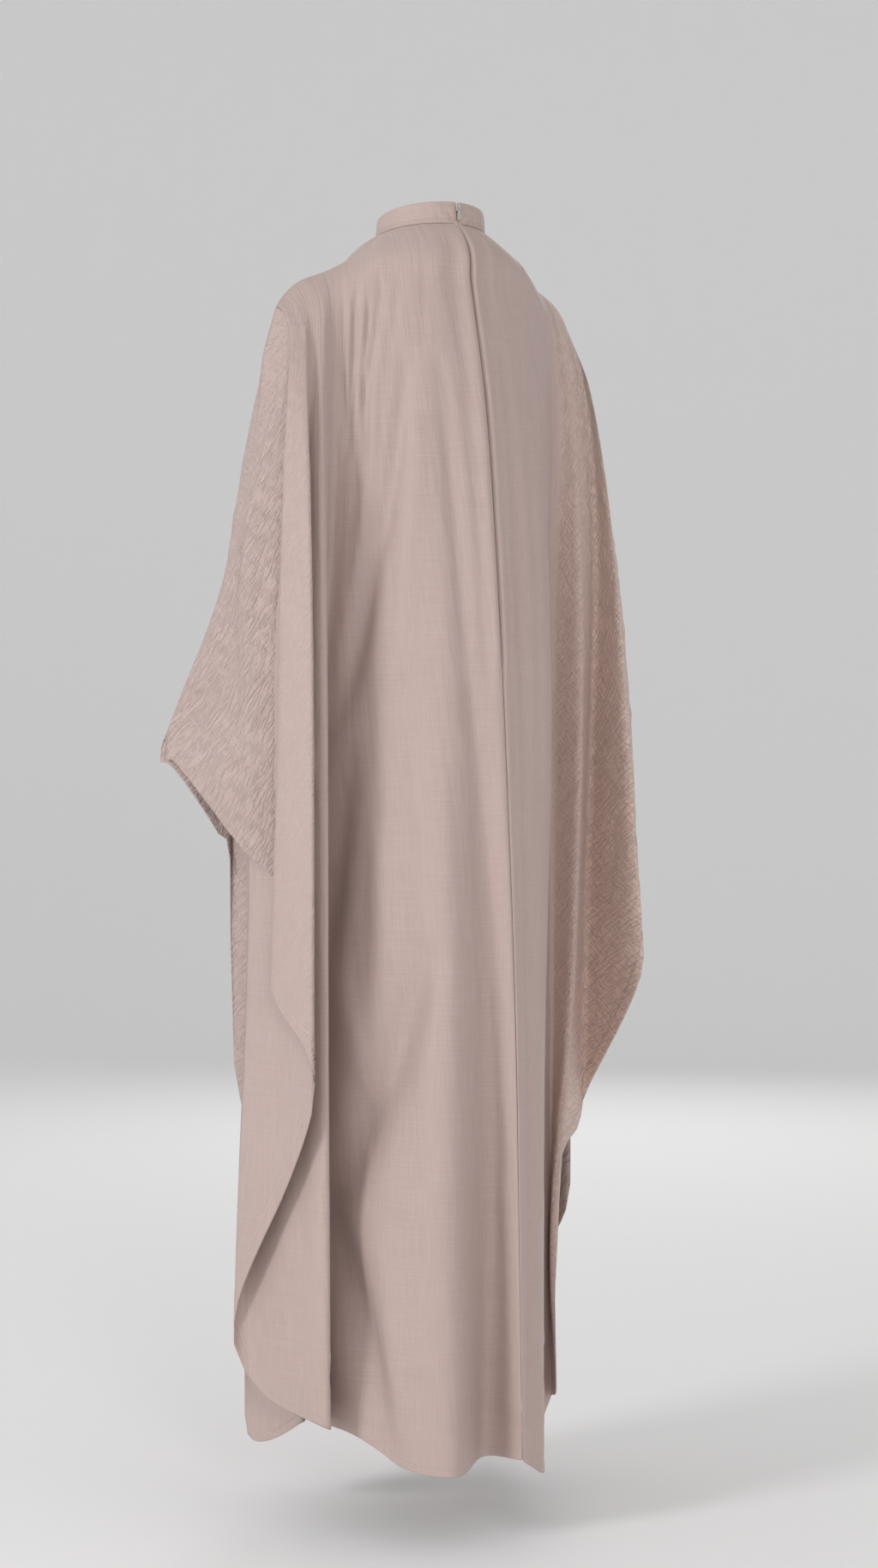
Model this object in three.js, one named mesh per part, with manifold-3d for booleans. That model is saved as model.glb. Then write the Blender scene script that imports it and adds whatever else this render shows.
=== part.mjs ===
// Full-length batwing kaftan with a stand collar and a concealed centre back zip, in the hollow form it has
// when it is worn. Millimetres, +Z up. The wearer faces -Y and the wearer's left is +X. Heights in the tables
// are above the floor-length hem. The origin is between the shoulders, where the wearer holds the garment up.
import * as THREE from 'three';
import Module from 'manifold-3d';
import { mergeVertices } from 'three/addons/utils/BufferGeometryUtils.js';

const CLOTH = 2.0;            // cloth wall
const SEAM_GAP = 0.6;         // clearance between two sewn edges
const SHOULDER_HEIGHT = 1360; // origin above the hem
const NECK = { halfWidth: 63, halfDepth: 62, height: 1391, rise: 6, round: 52 };
const COLLAR = { height: 22, backRise: 3, wall: 2.4, zipGap: 3.0, leanIn: 1.5 };
const ZIP = { bodyWidth: 5, bodyHeight: 9, bodyDepth: 1.6, tongue: 1.8, height: 1416 };
const BAIL = { hole: 2.6, reach: 1.8, bar: 0.9, width: 1.2 };
const PULL = { length: 15.5, width: 5.2, thickness: 0.9, eye: 2.4, eyeLength: 2.9, rim: 0.5 };
const PANEL_ROWS = 20;
const TURN_PASSES = 8;        // smoothing of the wall's directions below the top edge
const MITRE = 2;              // most that the wall's offset grows at a sharp fold
const TURN_ROWS = 3;          // of those, the rows that turn over the shoulder or arm
// How fully the cloth rounds over the shoulder and arm: 1 slopes, 0.5 is a quarter ellipse.
const ROUNDING = { neck: 0.95, arm: 0.6 };

const CLOTH_LOOK = { color: 0xc4b0a8, roughness: 0.85, metalness: 0.0 };
const METAL_LOOK = { color: 0xd8d0c8, roughness: 0.3, metalness: 0.9 };

// The shoulder and sleeve seam from the side of the neck to the sleeve tip: x out to the side, y, z, and the
// depth over which the cloth rounds over the shoulder or arm below the seam.
const SLEEVE_SEAM = {
  left: [
    { x: 63.6, y: 0, z: 1391, round: 50 },
    { x: 98, y: 0, z: 1362, round: 50 },
    { x: 136, y: 0, z: 1341, round: 58 },
    { x: 174, y: 0, z: 1324, round: 64 },
    { x: 198, y: -1, z: 1298, round: 66 },
    { x: 209, y: -2, z: 1264, round: 64 },
    { x: 216, y: -4, z: 1236, round: 64 },
    { x: 219, y: -8, z: 1181, round: 64 },
    { x: 227, y: -12, z: 1122, round: 64 },
    { x: 236, y: -18, z: 1064, round: 64 },
    { x: 245, y: -28, z: 1006, round: 60 },
    { x: 257, y: -45, z: 948, round: 52 },
    { x: 272, y: -69, z: 889, round: 40 },
    { x: 286, y: -91, z: 832, round: 24 },
    { x: 291, y: -105.5, z: 806, round: 12 },
  ],
  right: [
    { x: 63.6, y: 0, z: 1391, round: 50 },
    { x: 98, y: 0, z: 1370, round: 50 },
    { x: 134, y: 0, z: 1348, round: 58 },
    { x: 172, y: -2, z: 1327, round: 64 },
    { x: 191, y: -4, z: 1300, round: 66 },
    { x: 201, y: -8, z: 1266, round: 64 },
    { x: 206, y: -17, z: 1208, round: 64 },
    { x: 213, y: -24, z: 1148, round: 64 },
    { x: 229, y: -28, z: 1087, round: 64 },
    { x: 252, y: -33, z: 1025, round: 60 },
    { x: 279, y: -41, z: 963, round: 52 },
    { x: 294, y: -47, z: 900, round: 44 },
    { x: 307, y: -53, z: 838, round: 34 },
    { x: 320, y: -58, z: 775, round: 22 },
    { x: 328, y: -62, z: 738, round: 12 },
  ],
};

// Each row is one line of the cloth from its top down to the hem. top is the distance along the neck edge and
// the sleeve seam, steps is the number of columns on to the next row, hem is the height of its lower end, and
// the pairs are x (out from the centre) and y at seven heights, from the yoke to the floor.
const HEIGHTS = { yoke: 1330, chest: 1180, waist: 1000, hip: 800, knee: 500, calf: 220, floor: 0 };
const BACK_LEFT = [
  { fold: 'centre back', top: 0, steps: 2, hem: 10,
    yoke: [0, 93], chest: [0, 128], waist: [0, 151], hip: [0, 169],
    knee: [0, 190], calf: [0, 199], floor: [0, 205] },
  { fold: 'pleat valley', top: 33, steps: 3, hem: 5,
    yoke: [37, 89], chest: [39, 124], waist: [36, 146], hip: [32, 160],
    knee: [28, 168], calf: [22, 160], floor: [20, 152] },
  { fold: 'pleat ridge', top: 66, steps: 3, hem: 0,
    yoke: [70, 77], chest: [77, 109], waist: [76, 130], hip: [75, 151],
    knee: [76, 176], calf: [80, 190], floor: [82, 200] },
  { fold: 'back flank', top: 104, steps: 3, hem: 6,
    yoke: [101, 60], chest: [110, 86], waist: [112, 93], hip: [114, 106],
    knee: [118, 128], calf: [123, 146], floor: [126, 150] },
  { fold: 'side', top: 144, steps: 3, hem: 32,
    yoke: [124, 46], chest: [139, 66], waist: [139, 56], hip: [142, 54],
    knee: [146, 68], calf: [149, 84], floor: [150, 90] },
  { fold: 'side valley', top: 184, steps: 3, hem: 34,
    yoke: [142, 35], chest: [157, 56], waist: [156, 38], hip: [158, 14],
    knee: [160, 8], calf: [162, 7], floor: [164, 7] },
  { fold: 'inner ridge', top: 206, steps: 3, hem: 46,
    yoke: [155, 31], chest: [179, 73], waist: [189, 94], hip: [190, 100],
    knee: [190, 102], calf: [189, 104], floor: [188, 105] },
  { fold: 'outer fold, inside', top: 222, steps: 2, hem: 72,
    yoke: [164, 26], chest: [190, 64], waist: [208, 44], hip: [222, 10],
    knee: [219, -12], calf: [222, -6], floor: [220, -2] },
  { fold: 'outer fold, outside', top: 234, steps: 3, hem: 166,
    yoke: [169, 23], chest: [195, 66], waist: [215, 46], hip: [230, 12],
    knee: [228, -10], calf: [242, -13], floor: [250, -10] },
  { fold: 'outer ridge', top: 250, steps: 3, hem: 415,
    yoke: [176, 20], chest: [201, 77], waist: [206, 99], hip: [210, 110],
    knee: [213, 117], calf: [213, 117], floor: [213, 117] },
  { fold: 'sleeve fold, inside', top: 266, steps: 2, hem: 528,
    yoke: [183, 15], chest: [213, 52], waist: [224, 54], hip: [230, 58],
    knee: [234, 56], calf: [234, 56], floor: [234, 56] },
  { fold: 'sleeve fold, outside', top: 282, steps: 3, hem: 632,
    yoke: [188, 11], chest: [217, 44], waist: [230, 44], hip: [237, 46],
    knee: [241, 44], calf: [241, 44], floor: [241, 44] },
  { fold: 'upper sleeve', top: 412, steps: 3, hem: 682,
    yoke: [198, 0], chest: [223, 12], waist: [241, 8], hip: [248, 12],
    knee: [250, 14], calf: [250, 14], floor: [250, 14] },
  { fold: 'lower sleeve', top: 572, steps: 3, hem: 727,
    yoke: [206, -4], chest: [226, -8], waist: [248, -20], hip: [263, -32],
    knee: [267, -36], calf: [267, -36], floor: [267, -36] },
  { fold: 'cuff', top: 697, steps: 2, hem: 778,
    yoke: [212, -6], chest: [232, -18], waist: [260, -44], hip: [284, -84],
    knee: [286, -88], calf: [286, -88], floor: [286, -88] },
  { fold: 'sleeve tip', top: 786, steps: 0, hem: 782,
    yoke: [214, -8], chest: [234, -22], waist: [266, -58], hip: [291, -101],
    knee: [291, -102], calf: [291, -102], floor: [291, -102] },
];
const BACK_RIGHT = [
  { fold: 'centre back', top: 0, steps: 2, hem: 10,
    yoke: [0, 93], chest: [0, 128], waist: [0, 151], hip: [0, 169],
    knee: [0, 190], calf: [0, 199], floor: [0, 205] },
  { fold: 'seam hollow', top: 33, steps: 3, hem: -4,
    yoke: [35, 89], chest: [38, 122], waist: [38, 143], hip: [37, 157],
    knee: [30, 172], calf: [26, 178], floor: [24, 180] },
  { fold: 'back pleat', top: 66, steps: 3, hem: -20,
    yoke: [68, 77], chest: [74, 104], waist: [75, 126], hip: [72, 141],
    knee: [62, 152], calf: [56, 158], floor: [54, 162] },
  { fold: 'back flank', top: 104, steps: 3, hem: -22,
    yoke: [98, 60], chest: [104, 78], waist: [108, 87], hip: [107, 94],
    knee: [100, 92], calf: [96, 88], floor: [98, 86] },
  { fold: 'side', top: 144, steps: 3, hem: -4,
    yoke: [122, 46], chest: [132, 52], waist: [134, 42], hip: [136, 40],
    knee: [132, 39], calf: [129, 36], floor: [129, 35] },
  { fold: 'side valley', top: 186, steps: 3, hem: 24,
    yoke: [142, 35], chest: [150, 38], waist: [153, 22], hip: [156, 10],
    knee: [158, 8], calf: [158, 7], floor: [160, 7] },
  { fold: 'inner ridge, inside', top: 206, steps: 2, hem: 50,
    yoke: [152, 31], chest: [164, 50], waist: [168, 56], hip: [168, 56],
    knee: [160, 48], calf: [144, 34], floor: [151, 41] },
  { fold: 'inner ridge, outside', top: 218, steps: 2, hem: 200,
    yoke: [158, 28], chest: [170, 50], waist: [176, 56], hip: [175, 56],
    knee: [166, 50], calf: [151, 38], floor: [151, 38] },
  { fold: 'inner layer', top: 230, steps: 2, hem: 310,
    yoke: [165, 25], chest: [177, 50], waist: [188, 44], hip: [188, 34],
    knee: [180, 26], calf: [163, 12], floor: [163, 12] },
  { fold: 'outer fold, inside', top: 242, steps: 2, hem: 346,
    yoke: [171, 22], chest: [183, 50], waist: [198, 34], hip: [203, 12],
    knee: [206, -6], calf: [204, -8], floor: [204, -8] },
  { fold: 'outer fold, outside', top: 254, steps: 3, hem: 388,
    yoke: [176, 19], chest: [187, 53], waist: [204, 38], hip: [210, 16],
    knee: [214, -2], calf: [212, -4], floor: [212, -4] },
  { fold: 'outer ridge', top: 270, steps: 3, hem: 536,
    yoke: [181, 15], chest: [191, 62], waist: [203, 84], hip: [208, 102],
    knee: [218, 119], calf: [218, 119], floor: [218, 119] },
  { fold: 'sleeve fold, inside', top: 286, steps: 2, hem: 598,
    yoke: [186, 10], chest: [201, 44], waist: [226, 52], hip: [238, 60],
    knee: [246, 62], calf: [246, 62], floor: [246, 62] },
  { fold: 'sleeve fold, outside', top: 302, steps: 3, hem: 624,
    yoke: [190, 6], chest: [206, 34], waist: [234, 42], hip: [248, 48],
    knee: [256, 50], calf: [256, 50], floor: [256, 50] },
  { fold: 'upper sleeve', top: 430, steps: 3, hem: 652,
    yoke: [200, -4], chest: [215, 2], waist: [247, 12], hip: [268, 18],
    knee: [274, 20], calf: [274, 20], floor: [274, 20] },
  { fold: 'lower sleeve', top: 588, steps: 3, hem: 688,
    yoke: [208, -12], chest: [234, -14], waist: [263, -20], hip: [290, -14],
    knee: [298, -14], calf: [298, -14], floor: [298, -14] },
  { fold: 'cuff', top: 724, steps: 2, hem: 708,
    yoke: [212, -14], chest: [238, -24], waist: [272, -34], hip: [311, -42],
    knee: [318, -44], calf: [318, -44], floor: [318, -44] },
  { fold: 'sleeve tip', top: 828, steps: 0, hem: 714,
    yoke: [214, -16], chest: [240, -26], waist: [278, -40], hip: [320, -54],
    knee: [328, -56], calf: [328, -56], floor: [328, -56] },
];
const FRONT_LEFT = [
  { fold: 'centre front', top: 0, steps: 3, hem: 16,
    yoke: [0, -80], chest: [0, -110], waist: [0, -112], hip: [0, -118],
    knee: [0, -128], calf: [0, -134], floor: [0, -138] },
  { fold: 'front hollow', top: 42, steps: 3, hem: 12,
    yoke: [46, -75], chest: [50, -108], waist: [48, -106], hip: [42, -106],
    knee: [40, -106], calf: [38, -104], floor: [38, -102] },
  { fold: 'front pleat', top: 76, steps: 3, hem: 12,
    yoke: [78, -62], chest: [90, -98], waist: [92, -100], hip: [92, -108],
    knee: [94, -122], calf: [96, -132], floor: [98, -138] },
  { fold: 'front flank', top: 120, steps: 3, hem: 22,
    yoke: [108, -44], chest: [122, -72], waist: [126, -64], hip: [132, -58],
    knee: [136, -62], calf: [140, -66], floor: [142, -68] },
  { fold: 'side valley', top: 184, steps: 3, hem: 28,
    yoke: [142, -30], chest: [152, -50], waist: [155, -24], hip: [158, -10],
    knee: [160, -8], calf: [162, -7], floor: [164, -7] },
  { fold: 'inner ridge, inside', top: 214, steps: 2, hem: 4,
    yoke: [157, -26], chest: [172, -58], waist: [180, -70], hip: [184, -74],
    knee: [180, -70], calf: [172, -66], floor: [195, -87] },
  { fold: 'inner ridge, outside', top: 226, steps: 3, hem: 186,
    yoke: [162, -24], chest: [178, -58], waist: [186, -72], hip: [190, -78],
    knee: [190, -78], calf: [196, -88], floor: [204, -98] },
  { fold: 'inner fold', top: 244, steps: 3, hem: 250,
    yoke: [172, -18], chest: [190, -50], waist: [200, -52], hip: [204, -32],
    knee: [202, -14], calf: [200, -12], floor: [200, -12] },
  { fold: 'outer ridge, inside', top: 262, steps: 2, hem: 438,
    yoke: [180, -15], chest: [200, -46], waist: [212, -64], hip: [216, -76],
    knee: [217, -76], calf: [217, -76], floor: [217, -76] },
  { fold: 'outer ridge, outside', top: 280, steps: 3, hem: 664,
    yoke: [186, -12], chest: [206, -42], waist: [218, -60], hip: [221, -74],
    knee: [222, -76], calf: [222, -76], floor: [222, -76] },
  { fold: 'sleeve front', top: 400, steps: 3, hem: 700,
    yoke: [198, -8], chest: [218, -32], waist: [232, -56], hip: [236, -78],
    knee: [236, -80], calf: [236, -80], floor: [236, -80] },
  { fold: 'lower sleeve', top: 572, steps: 3, hem: 744,
    yoke: [206, -8], chest: [226, -24], waist: [246, -46], hip: [263, -84],
    knee: [264, -86], calf: [264, -86], floor: [264, -86] },
  { fold: 'cuff', top: 697, steps: 2, hem: 776,
    yoke: [212, -8], chest: [232, -26], waist: [258, -50], hip: [283, -100],
    knee: [284, -102], calf: [284, -102], floor: [284, -102] },
  { fold: 'sleeve tip', top: 786, steps: 0, hem: 780,
    yoke: [214, -8], chest: [234, -22], waist: [266, -62], hip: [292, -111],
    knee: [292, -112], calf: [292, -112], floor: [292, -112] },
];
const FRONT_RIGHT = [
  { fold: 'centre front', top: 0, steps: 3, hem: 16,
    yoke: [0, -80], chest: [0, -110], waist: [0, -112], hip: [0, -118],
    knee: [0, -128], calf: [0, -134], floor: [0, -138] },
  { fold: 'front hollow', top: 42, steps: 3, hem: 8,
    yoke: [46, -75], chest: [50, -108], waist: [50, -108], hip: [48, -108],
    knee: [46, -110], calf: [44, -108], floor: [44, -106] },
  { fold: 'front pleat', top: 76, steps: 3, hem: 6,
    yoke: [78, -62], chest: [90, -98], waist: [93, -100], hip: [96, -108],
    knee: [100, -120], calf: [102, -128], floor: [104, -134] },
  { fold: 'front flank', top: 120, steps: 3, hem: 14,
    yoke: [108, -44], chest: [122, -72], waist: [126, -64], hip: [132, -58],
    knee: [136, -62], calf: [140, -66], floor: [142, -68] },
  { fold: 'side valley', top: 186, steps: 3, hem: 22,
    yoke: [142, -32], chest: [150, -50], waist: [152, -24], hip: [156, -10],
    knee: [158, -8], calf: [158, -7], floor: [160, -7] },
  { fold: 'inner ridge, inside', top: 214, steps: 2, hem: 34,
    yoke: [156, -28], chest: [172, -58], waist: [180, -72], hip: [184, -78],
    knee: [184, -80], calf: [186, -84], floor: [186, -84] },
  { fold: 'inner ridge, outside', top: 228, steps: 3, hem: 150,
    yoke: [161, -26], chest: [178, -60], waist: [188, -76], hip: [192, -84],
    knee: [194, -88], calf: [196, -94], floor: [196, -94] },
  { fold: 'inner fold', top: 250, steps: 3, hem: 262,
    yoke: [172, -20], chest: [194, -54], waist: [206, -56], hip: [208, -36],
    knee: [202, -14], calf: [200, -12], floor: [200, -12] },
  { fold: 'outer ridge, inside', top: 270, steps: 2, hem: 452,
    yoke: [178, -16], chest: [199, -52], waist: [222, -70], hip: [228, -80],
    knee: [228, -80], calf: [228, -80], floor: [228, -80] },
  { fold: 'outer ridge, outside', top: 288, steps: 3, hem: 560,
    yoke: [184, -14], chest: [204, -48], waist: [230, -68], hip: [238, -78],
    knee: [240, -80], calf: [240, -80], floor: [240, -80] },
  { fold: 'sleeve front', top: 430, steps: 3, hem: 606,
    yoke: [198, -14], chest: [214, -38], waist: [250, -60], hip: [264, -78],
    knee: [268, -82], calf: [268, -82], floor: [268, -82] },
  { fold: 'lower sleeve', top: 588, steps: 3, hem: 664,
    yoke: [208, -14], chest: [234, -34], waist: [264, -52], hip: [290, -74],
    knee: [296, -76], calf: [296, -76], floor: [296, -76] },
  { fold: 'cuff', top: 724, steps: 2, hem: 702,
    yoke: [212, -14], chest: [238, -30], waist: [272, -44], hip: [311, -66],
    knee: [318, -68], calf: [318, -68], floor: [318, -68] },
  { fold: 'sleeve tip', top: 828, steps: 0, hem: 712,
    yoke: [214, -16], chest: [240, -28], waist: [278, -44], hip: [320, -66],
    knee: [328, -68], calf: [328, -68], floor: [328, -68] },
];

// Smooth value through the points (k, v), with the slope at each point taken from its neighbours.
function smooth(keys, values, k) {
  const n = keys.length;
  let i = 0;
  while (i < n - 2 && (keys[0] < keys[n - 1] ? k > keys[i + 1] : k < keys[i + 1])) i += 1;
  const slope = (a) => {
    const lo = Math.max(a - 1, 0);
    const hi = Math.min(a + 1, n - 1);
    return (values[hi] - values[lo]) / (keys[hi] - keys[lo]);
  };
  const h = keys[i + 1] - keys[i];
  const t = Math.min(Math.max((k - keys[i]) / h, 0), 1);
  const a = 2 * t ** 3 - 3 * t ** 2 + 1;
  const b = t ** 3 - 2 * t ** 2 + t;
  const c = -2 * t ** 3 + 3 * t ** 2;
  const d = t ** 3 - t ** 2;
  return a * values[i] + b * h * slope(i) + c * values[i + 1] + d * h * slope(i + 1);
}

// Arc length of the top edge at each point of a sleeve seam: the quarter of the neck ring comes first.
const NECK_QUARTER = (Math.PI / 4) * (NECK.halfWidth + NECK.halfDepth);
function seamLengths(seam) {
  let length = NECK_QUARTER;
  return seam.map((p, i) => {
    const q = seam[Math.max(i - 1, 0)];
    length += Math.hypot(p.x - q.x, p.y - q.y, p.z - q.z);
    return length;
  });
}

// Top edge of a back (+1) or front (-1) panel at arc length s: the neck ring, then the sleeve seam.
function topEdge(seam, toBack, s) {
  if (s < NECK_QUARTER) {
    const angle = s / NECK_QUARTER * (Math.PI / 2);
    const rise = toBack * Math.cos(angle);
    return {
      x: NECK.halfWidth * Math.sin(angle),
      y: rise * NECK.halfDepth,
      z: NECK.height + NECK.rise * rise,
      round: NECK.round,
    };
  }
  const lengths = seamLengths(seam);
  const at = (key) => smooth(lengths, seam.map((p) => p[key]), s);
  return { x: at('x'), y: at('y'), z: at('z'), round: at('round') };
}

// Point of a panel's middle surface on cloth line u (rows of the table, 0 to n - 1) at height z.
function panelPoint(table, top, hem, u, z) {
  const rows = table.map((_, i) => i);
  const levels = Object.entries(HEIGHTS);
  const plan = (axis) => smooth(
    rows,
    table.map((row) => smooth(levels.map(([, h]) => h), levels.map(([name]) => row[name][axis]), z)),
    u,
  );
  const p = new THREE.Vector3(plan(0), plan(1), z);
  const q = (top.z - z) / Math.min(top.round, (top.z - hem) * 0.5);
  if (q < 1) {
    const slope = THREE.MathUtils.clamp((top.s - 40) / 160, 0, 1);
    const g = Math.max(q * (2 - q), 0) ** THREE.MathUtils.lerp(ROUNDING.neck, ROUNDING.arm, slope);
    p.x = THREE.MathUtils.lerp(top.x, p.x, g);
    p.y = THREE.MathUtils.lerp(top.y, p.y, g);
  }
  return p;
}

// Cloth lines of a panel: the table's rows and the steps between them.
function clothLines(table) {
  const lines = table.flatMap((row, i) => Array.from({ length: row.steps }, (_, k) => i + k / row.steps));
  return [...lines, table.length - 1];
}

// Middle surface of a panel: columns of points from the top edge down, closer together near the top.
function panelGrid(table, seam, toBack, side) {
  const rows = table.map((_, i) => i);
  return clothLines(table).map((u) => {
    const s = smooth(rows, table.map((row) => row.top), u);
    const top = { ...topEdge(seam, toBack, s), s };
    const hem = smooth(rows, table.map((row) => row.hem), u);
    const round = Math.min(top.round, (top.z - hem) * 0.5);
    return Array.from({ length: PANEL_ROWS + 1 }, (_, j) => {
      // The first rows step evenly round the shoulder, the rest evenly down to the hem.
      const z = j <= TURN_ROWS
        ? top.z - round * (1 - Math.cos((j / TURN_ROWS) * (Math.PI / 2)))
        : top.z - round - (top.z - round - hem) * ((j - TURN_ROWS) / (PANEL_ROWS - TURN_ROWS));
      const p = panelPoint(table, top, hem, u, z);
      p.x *= side;
      return p;
    });
  });
}

// Directions that the cloth thickens along, facing away from the body. They halve the angle at each cloth line
// and are longer than 1 where it is sharp, so that the wall keeps its thickness round a fold.
function gridNormals(grid, flip) {
  return grid.map((column, i) => column.map((p, j) => {
    const down = column[Math.min(j + 1, column.length - 1)].clone().sub(column[Math.max(j - 1, 0)]);
    const ahead = grid[Math.min(i + 1, grid.length - 1)][j].clone().sub(p).cross(down).normalize();
    const behind = p.clone().sub(grid[Math.max(i - 1, 0)][j]).cross(down).normalize();
    const sum = ahead.add(behind).multiplyScalar(flip);
    const isEdge = i === 0 || i === grid.length - 1;
    return sum.multiplyScalar(isEdge ? 1 : Math.min(2 / sum.lengthSq(), MITRE / sum.length()));
  }));
}

// Closed cloth solid of a grid of middle points, half the wall to each side.
function clothSolid(grid, normals, wall) {
  const nu = grid.length;
  const nv = grid[0].length;
  const position = [];
  for (const sign of [1, -1]) {
    for (let i = 0; i < nu; i += 1) {
      for (let j = 0; j < nv; j += 1) {
        const p = grid[i][j].clone().addScaledVector(normals[i][j], sign * wall / 2);
        position.push(p.x, p.y, p.z);
      }
    }
  }
  const index = [];
  const id = (face, i, j) => face * nu * nv + i * nv + j;
  const quad = (a, b, c, d) => index.push(a, b, c, a, c, d);
  for (let i = 0; i < nu - 1; i += 1) {
    for (let j = 0; j < nv - 1; j += 1) {
      quad(id(0, i, j), id(0, i + 1, j), id(0, i + 1, j + 1), id(0, i, j + 1));
      quad(id(1, i, j), id(1, i, j + 1), id(1, i + 1, j + 1), id(1, i + 1, j));
    }
  }
  for (let i = 0; i < nu - 1; i += 1) {
    quad(id(0, i, 0), id(1, i, 0), id(1, i + 1, 0), id(0, i + 1, 0));
    quad(id(0, i, nv - 1), id(0, i + 1, nv - 1), id(1, i + 1, nv - 1), id(1, i, nv - 1));
  }
  for (let j = 0; j < nv - 1; j += 1) {
    quad(id(0, 0, j), id(0, 0, j + 1), id(1, 0, j + 1), id(1, 0, j));
    quad(id(0, nu - 1, j), id(1, nu - 1, j), id(1, nu - 1, j + 1), id(0, nu - 1, j + 1));
  }
  const geometry = new THREE.BufferGeometry();
  geometry.setAttribute('position', new THREE.Float32BufferAttribute(position, 3));
  geometry.setIndex(index);
  // Turn the faces outward: a closed body has a positive volume.
  let volume = 0;
  const v = (k) => new THREE.Vector3(position[3 * k], position[3 * k + 1], position[3 * k + 2]);
  for (let k = 0; k < index.length; k += 3) {
    volume += v(index[k]).dot(v(index[k + 1]).cross(v(index[k + 2])));
  }
  if (volume < 0) {
    for (let k = 0; k < index.length; k += 3) [index[k], index[k + 1]] = [index[k + 1], index[k]];
  }
  geometry.setIndex(index);
  geometry.computeVertexNormals();
  return geometry;
}

const group = new THREE.Group();
group.position.z = -SHOULDER_HEIGHT;
const cloth = (name, geometry) => {
  const mesh = new THREE.Mesh(geometry, new THREE.MeshStandardMaterial(CLOTH_LOOK));
  mesh.name = name;
  group.add(mesh);
};

// Along the sleeve seam both panels take the same normal, and each stands half the seam gap from the seam.
// The neck edge stays under the collar band.
function seatTopEdge(grid, normals, table, seam, side, toBack) {
  const rows = table.map((_, i) => i);
  clothLines(table).forEach((u, i) => {
    const s = smooth(rows, table.map((row) => row.top), u);
    const column = grid[i];
    if (s < NECK_QUARTER) {
      [1, 0.8, 0.4].forEach((share, j) => { column[j].z -= share * (CLOTH / 2 + SEAM_GAP / 2); });
      return;
    }
    const here = topEdge(seam, toBack, s);
    const next = topEdge(seam, toBack, s + 4);
    const along = new THREE.Vector3(next.x - here.x, next.y - here.y, next.z - here.z);
    if (i === grid.length - 1) {
      along.set(...['x', 'y', 'z'].map((k) => seam.at(-1)[k] - seam.at(-2)[k]));
    }
    along.normalize();
    const up = new THREE.Vector3(1, 0, 1);
    up.addScaledVector(along, -up.dot(along)).normalize();
    const across = along.clone().cross(up).normalize();
    if (across.y * toBack < 0) across.negate();
    up.x *= side;
    across.x *= side;
    column[0].addScaledVector(across, SEAM_GAP / 2);
    normals[i][0] = up;
  });
  // Below the edge the wall turns gradually from row to row.
  for (let pass = 0; pass < TURN_PASSES; pass += 1) {
    normals.forEach((column) => {
      const old = column.map((n) => n.clone());
      for (let j = 1; j < column.length; j += 1) {
        const next = old[Math.min(j + 1, old.length - 1)];
        column[j].multiplyScalar(2).add(old[j - 1]).add(next).multiplyScalar(0.25);
      }
    });
  }
}

// Back panels, half a seam gap from the centre back line.
for (const [name, table, seam, side] of [
  ['back_left', BACK_LEFT, SLEEVE_SEAM.left, 1],
  ['back_right', BACK_RIGHT, SLEEVE_SEAM.right, -1],
]) {
  const grid = panelGrid(table, seam, 1, side);
  const normals = gridNormals(grid, side);
  seatTopEdge(grid, normals, table, seam, side, 1);
  grid[0].forEach((p, j) => {
    p.x = side * SEAM_GAP / 2;
    normals[0][j].x = 0;
    normals[0][j].normalize();
  });
  cloth(name, clothSolid(grid, normals, CLOTH));
}

// Front panel, one piece from sleeve tip to sleeve tip.
const halves = [
  [FRONT_LEFT, SLEEVE_SEAM.left, 1],
  [FRONT_RIGHT, SLEEVE_SEAM.right, -1],
].map(([table, seam, side]) => {
  const grid = panelGrid(table, seam, -1, side);
  const normals = gridNormals(grid, -side);
  seatTopEdge(grid, normals, table, seam, side, -1);
  return { grid, normals };
});
halves[0].normals[0].forEach((n) => { n.x = 0; n.normalize(); });
const join = (key) => [...halves[1][key].slice(1).reverse(), ...halves[0][key]];
cloth('front', clothSolid(join('grid'), join('normals'), CLOTH));

// Collar band in two halves, open at the centre back: a wall that stands on the neck edge.
for (const [name, side] of [['collar_left', 1], ['collar_right', -1]]) {
  const grid = [];
  const normals = [];
  const start = COLLAR.zipGap / NECK.halfWidth / 2;
  const end = Math.PI - SEAM_GAP / NECK.halfWidth / 2;
  const steps = 16;
  for (let i = 0; i <= steps; i += 1) {
    const angle = start + (end - start) * (i / steps);
    const out = new THREE.Vector3(side * Math.sin(angle), Math.cos(angle), 0);
    const foot = NECK.height + NECK.rise * Math.cos(angle) + SEAM_GAP / 2;
    const height = COLLAR.height + COLLAR.backRise * Math.cos(angle);
    const column = [];
    for (let j = 0; j <= 3; j += 1) {
      const t = j / 3;
      const lean = COLLAR.leanIn * (1 - t);
      column.push(new THREE.Vector3(
        side * (NECK.halfWidth - lean) * Math.sin(angle),
        (NECK.halfDepth - lean) * Math.cos(angle),
        foot + height * (1 - t),
      ));
    }
    grid.push(column);
    normals.push(column.map(() => out.clone()));
  }
  cloth(name, clothSolid(grid, normals, COLLAR.wall));
}

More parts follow.
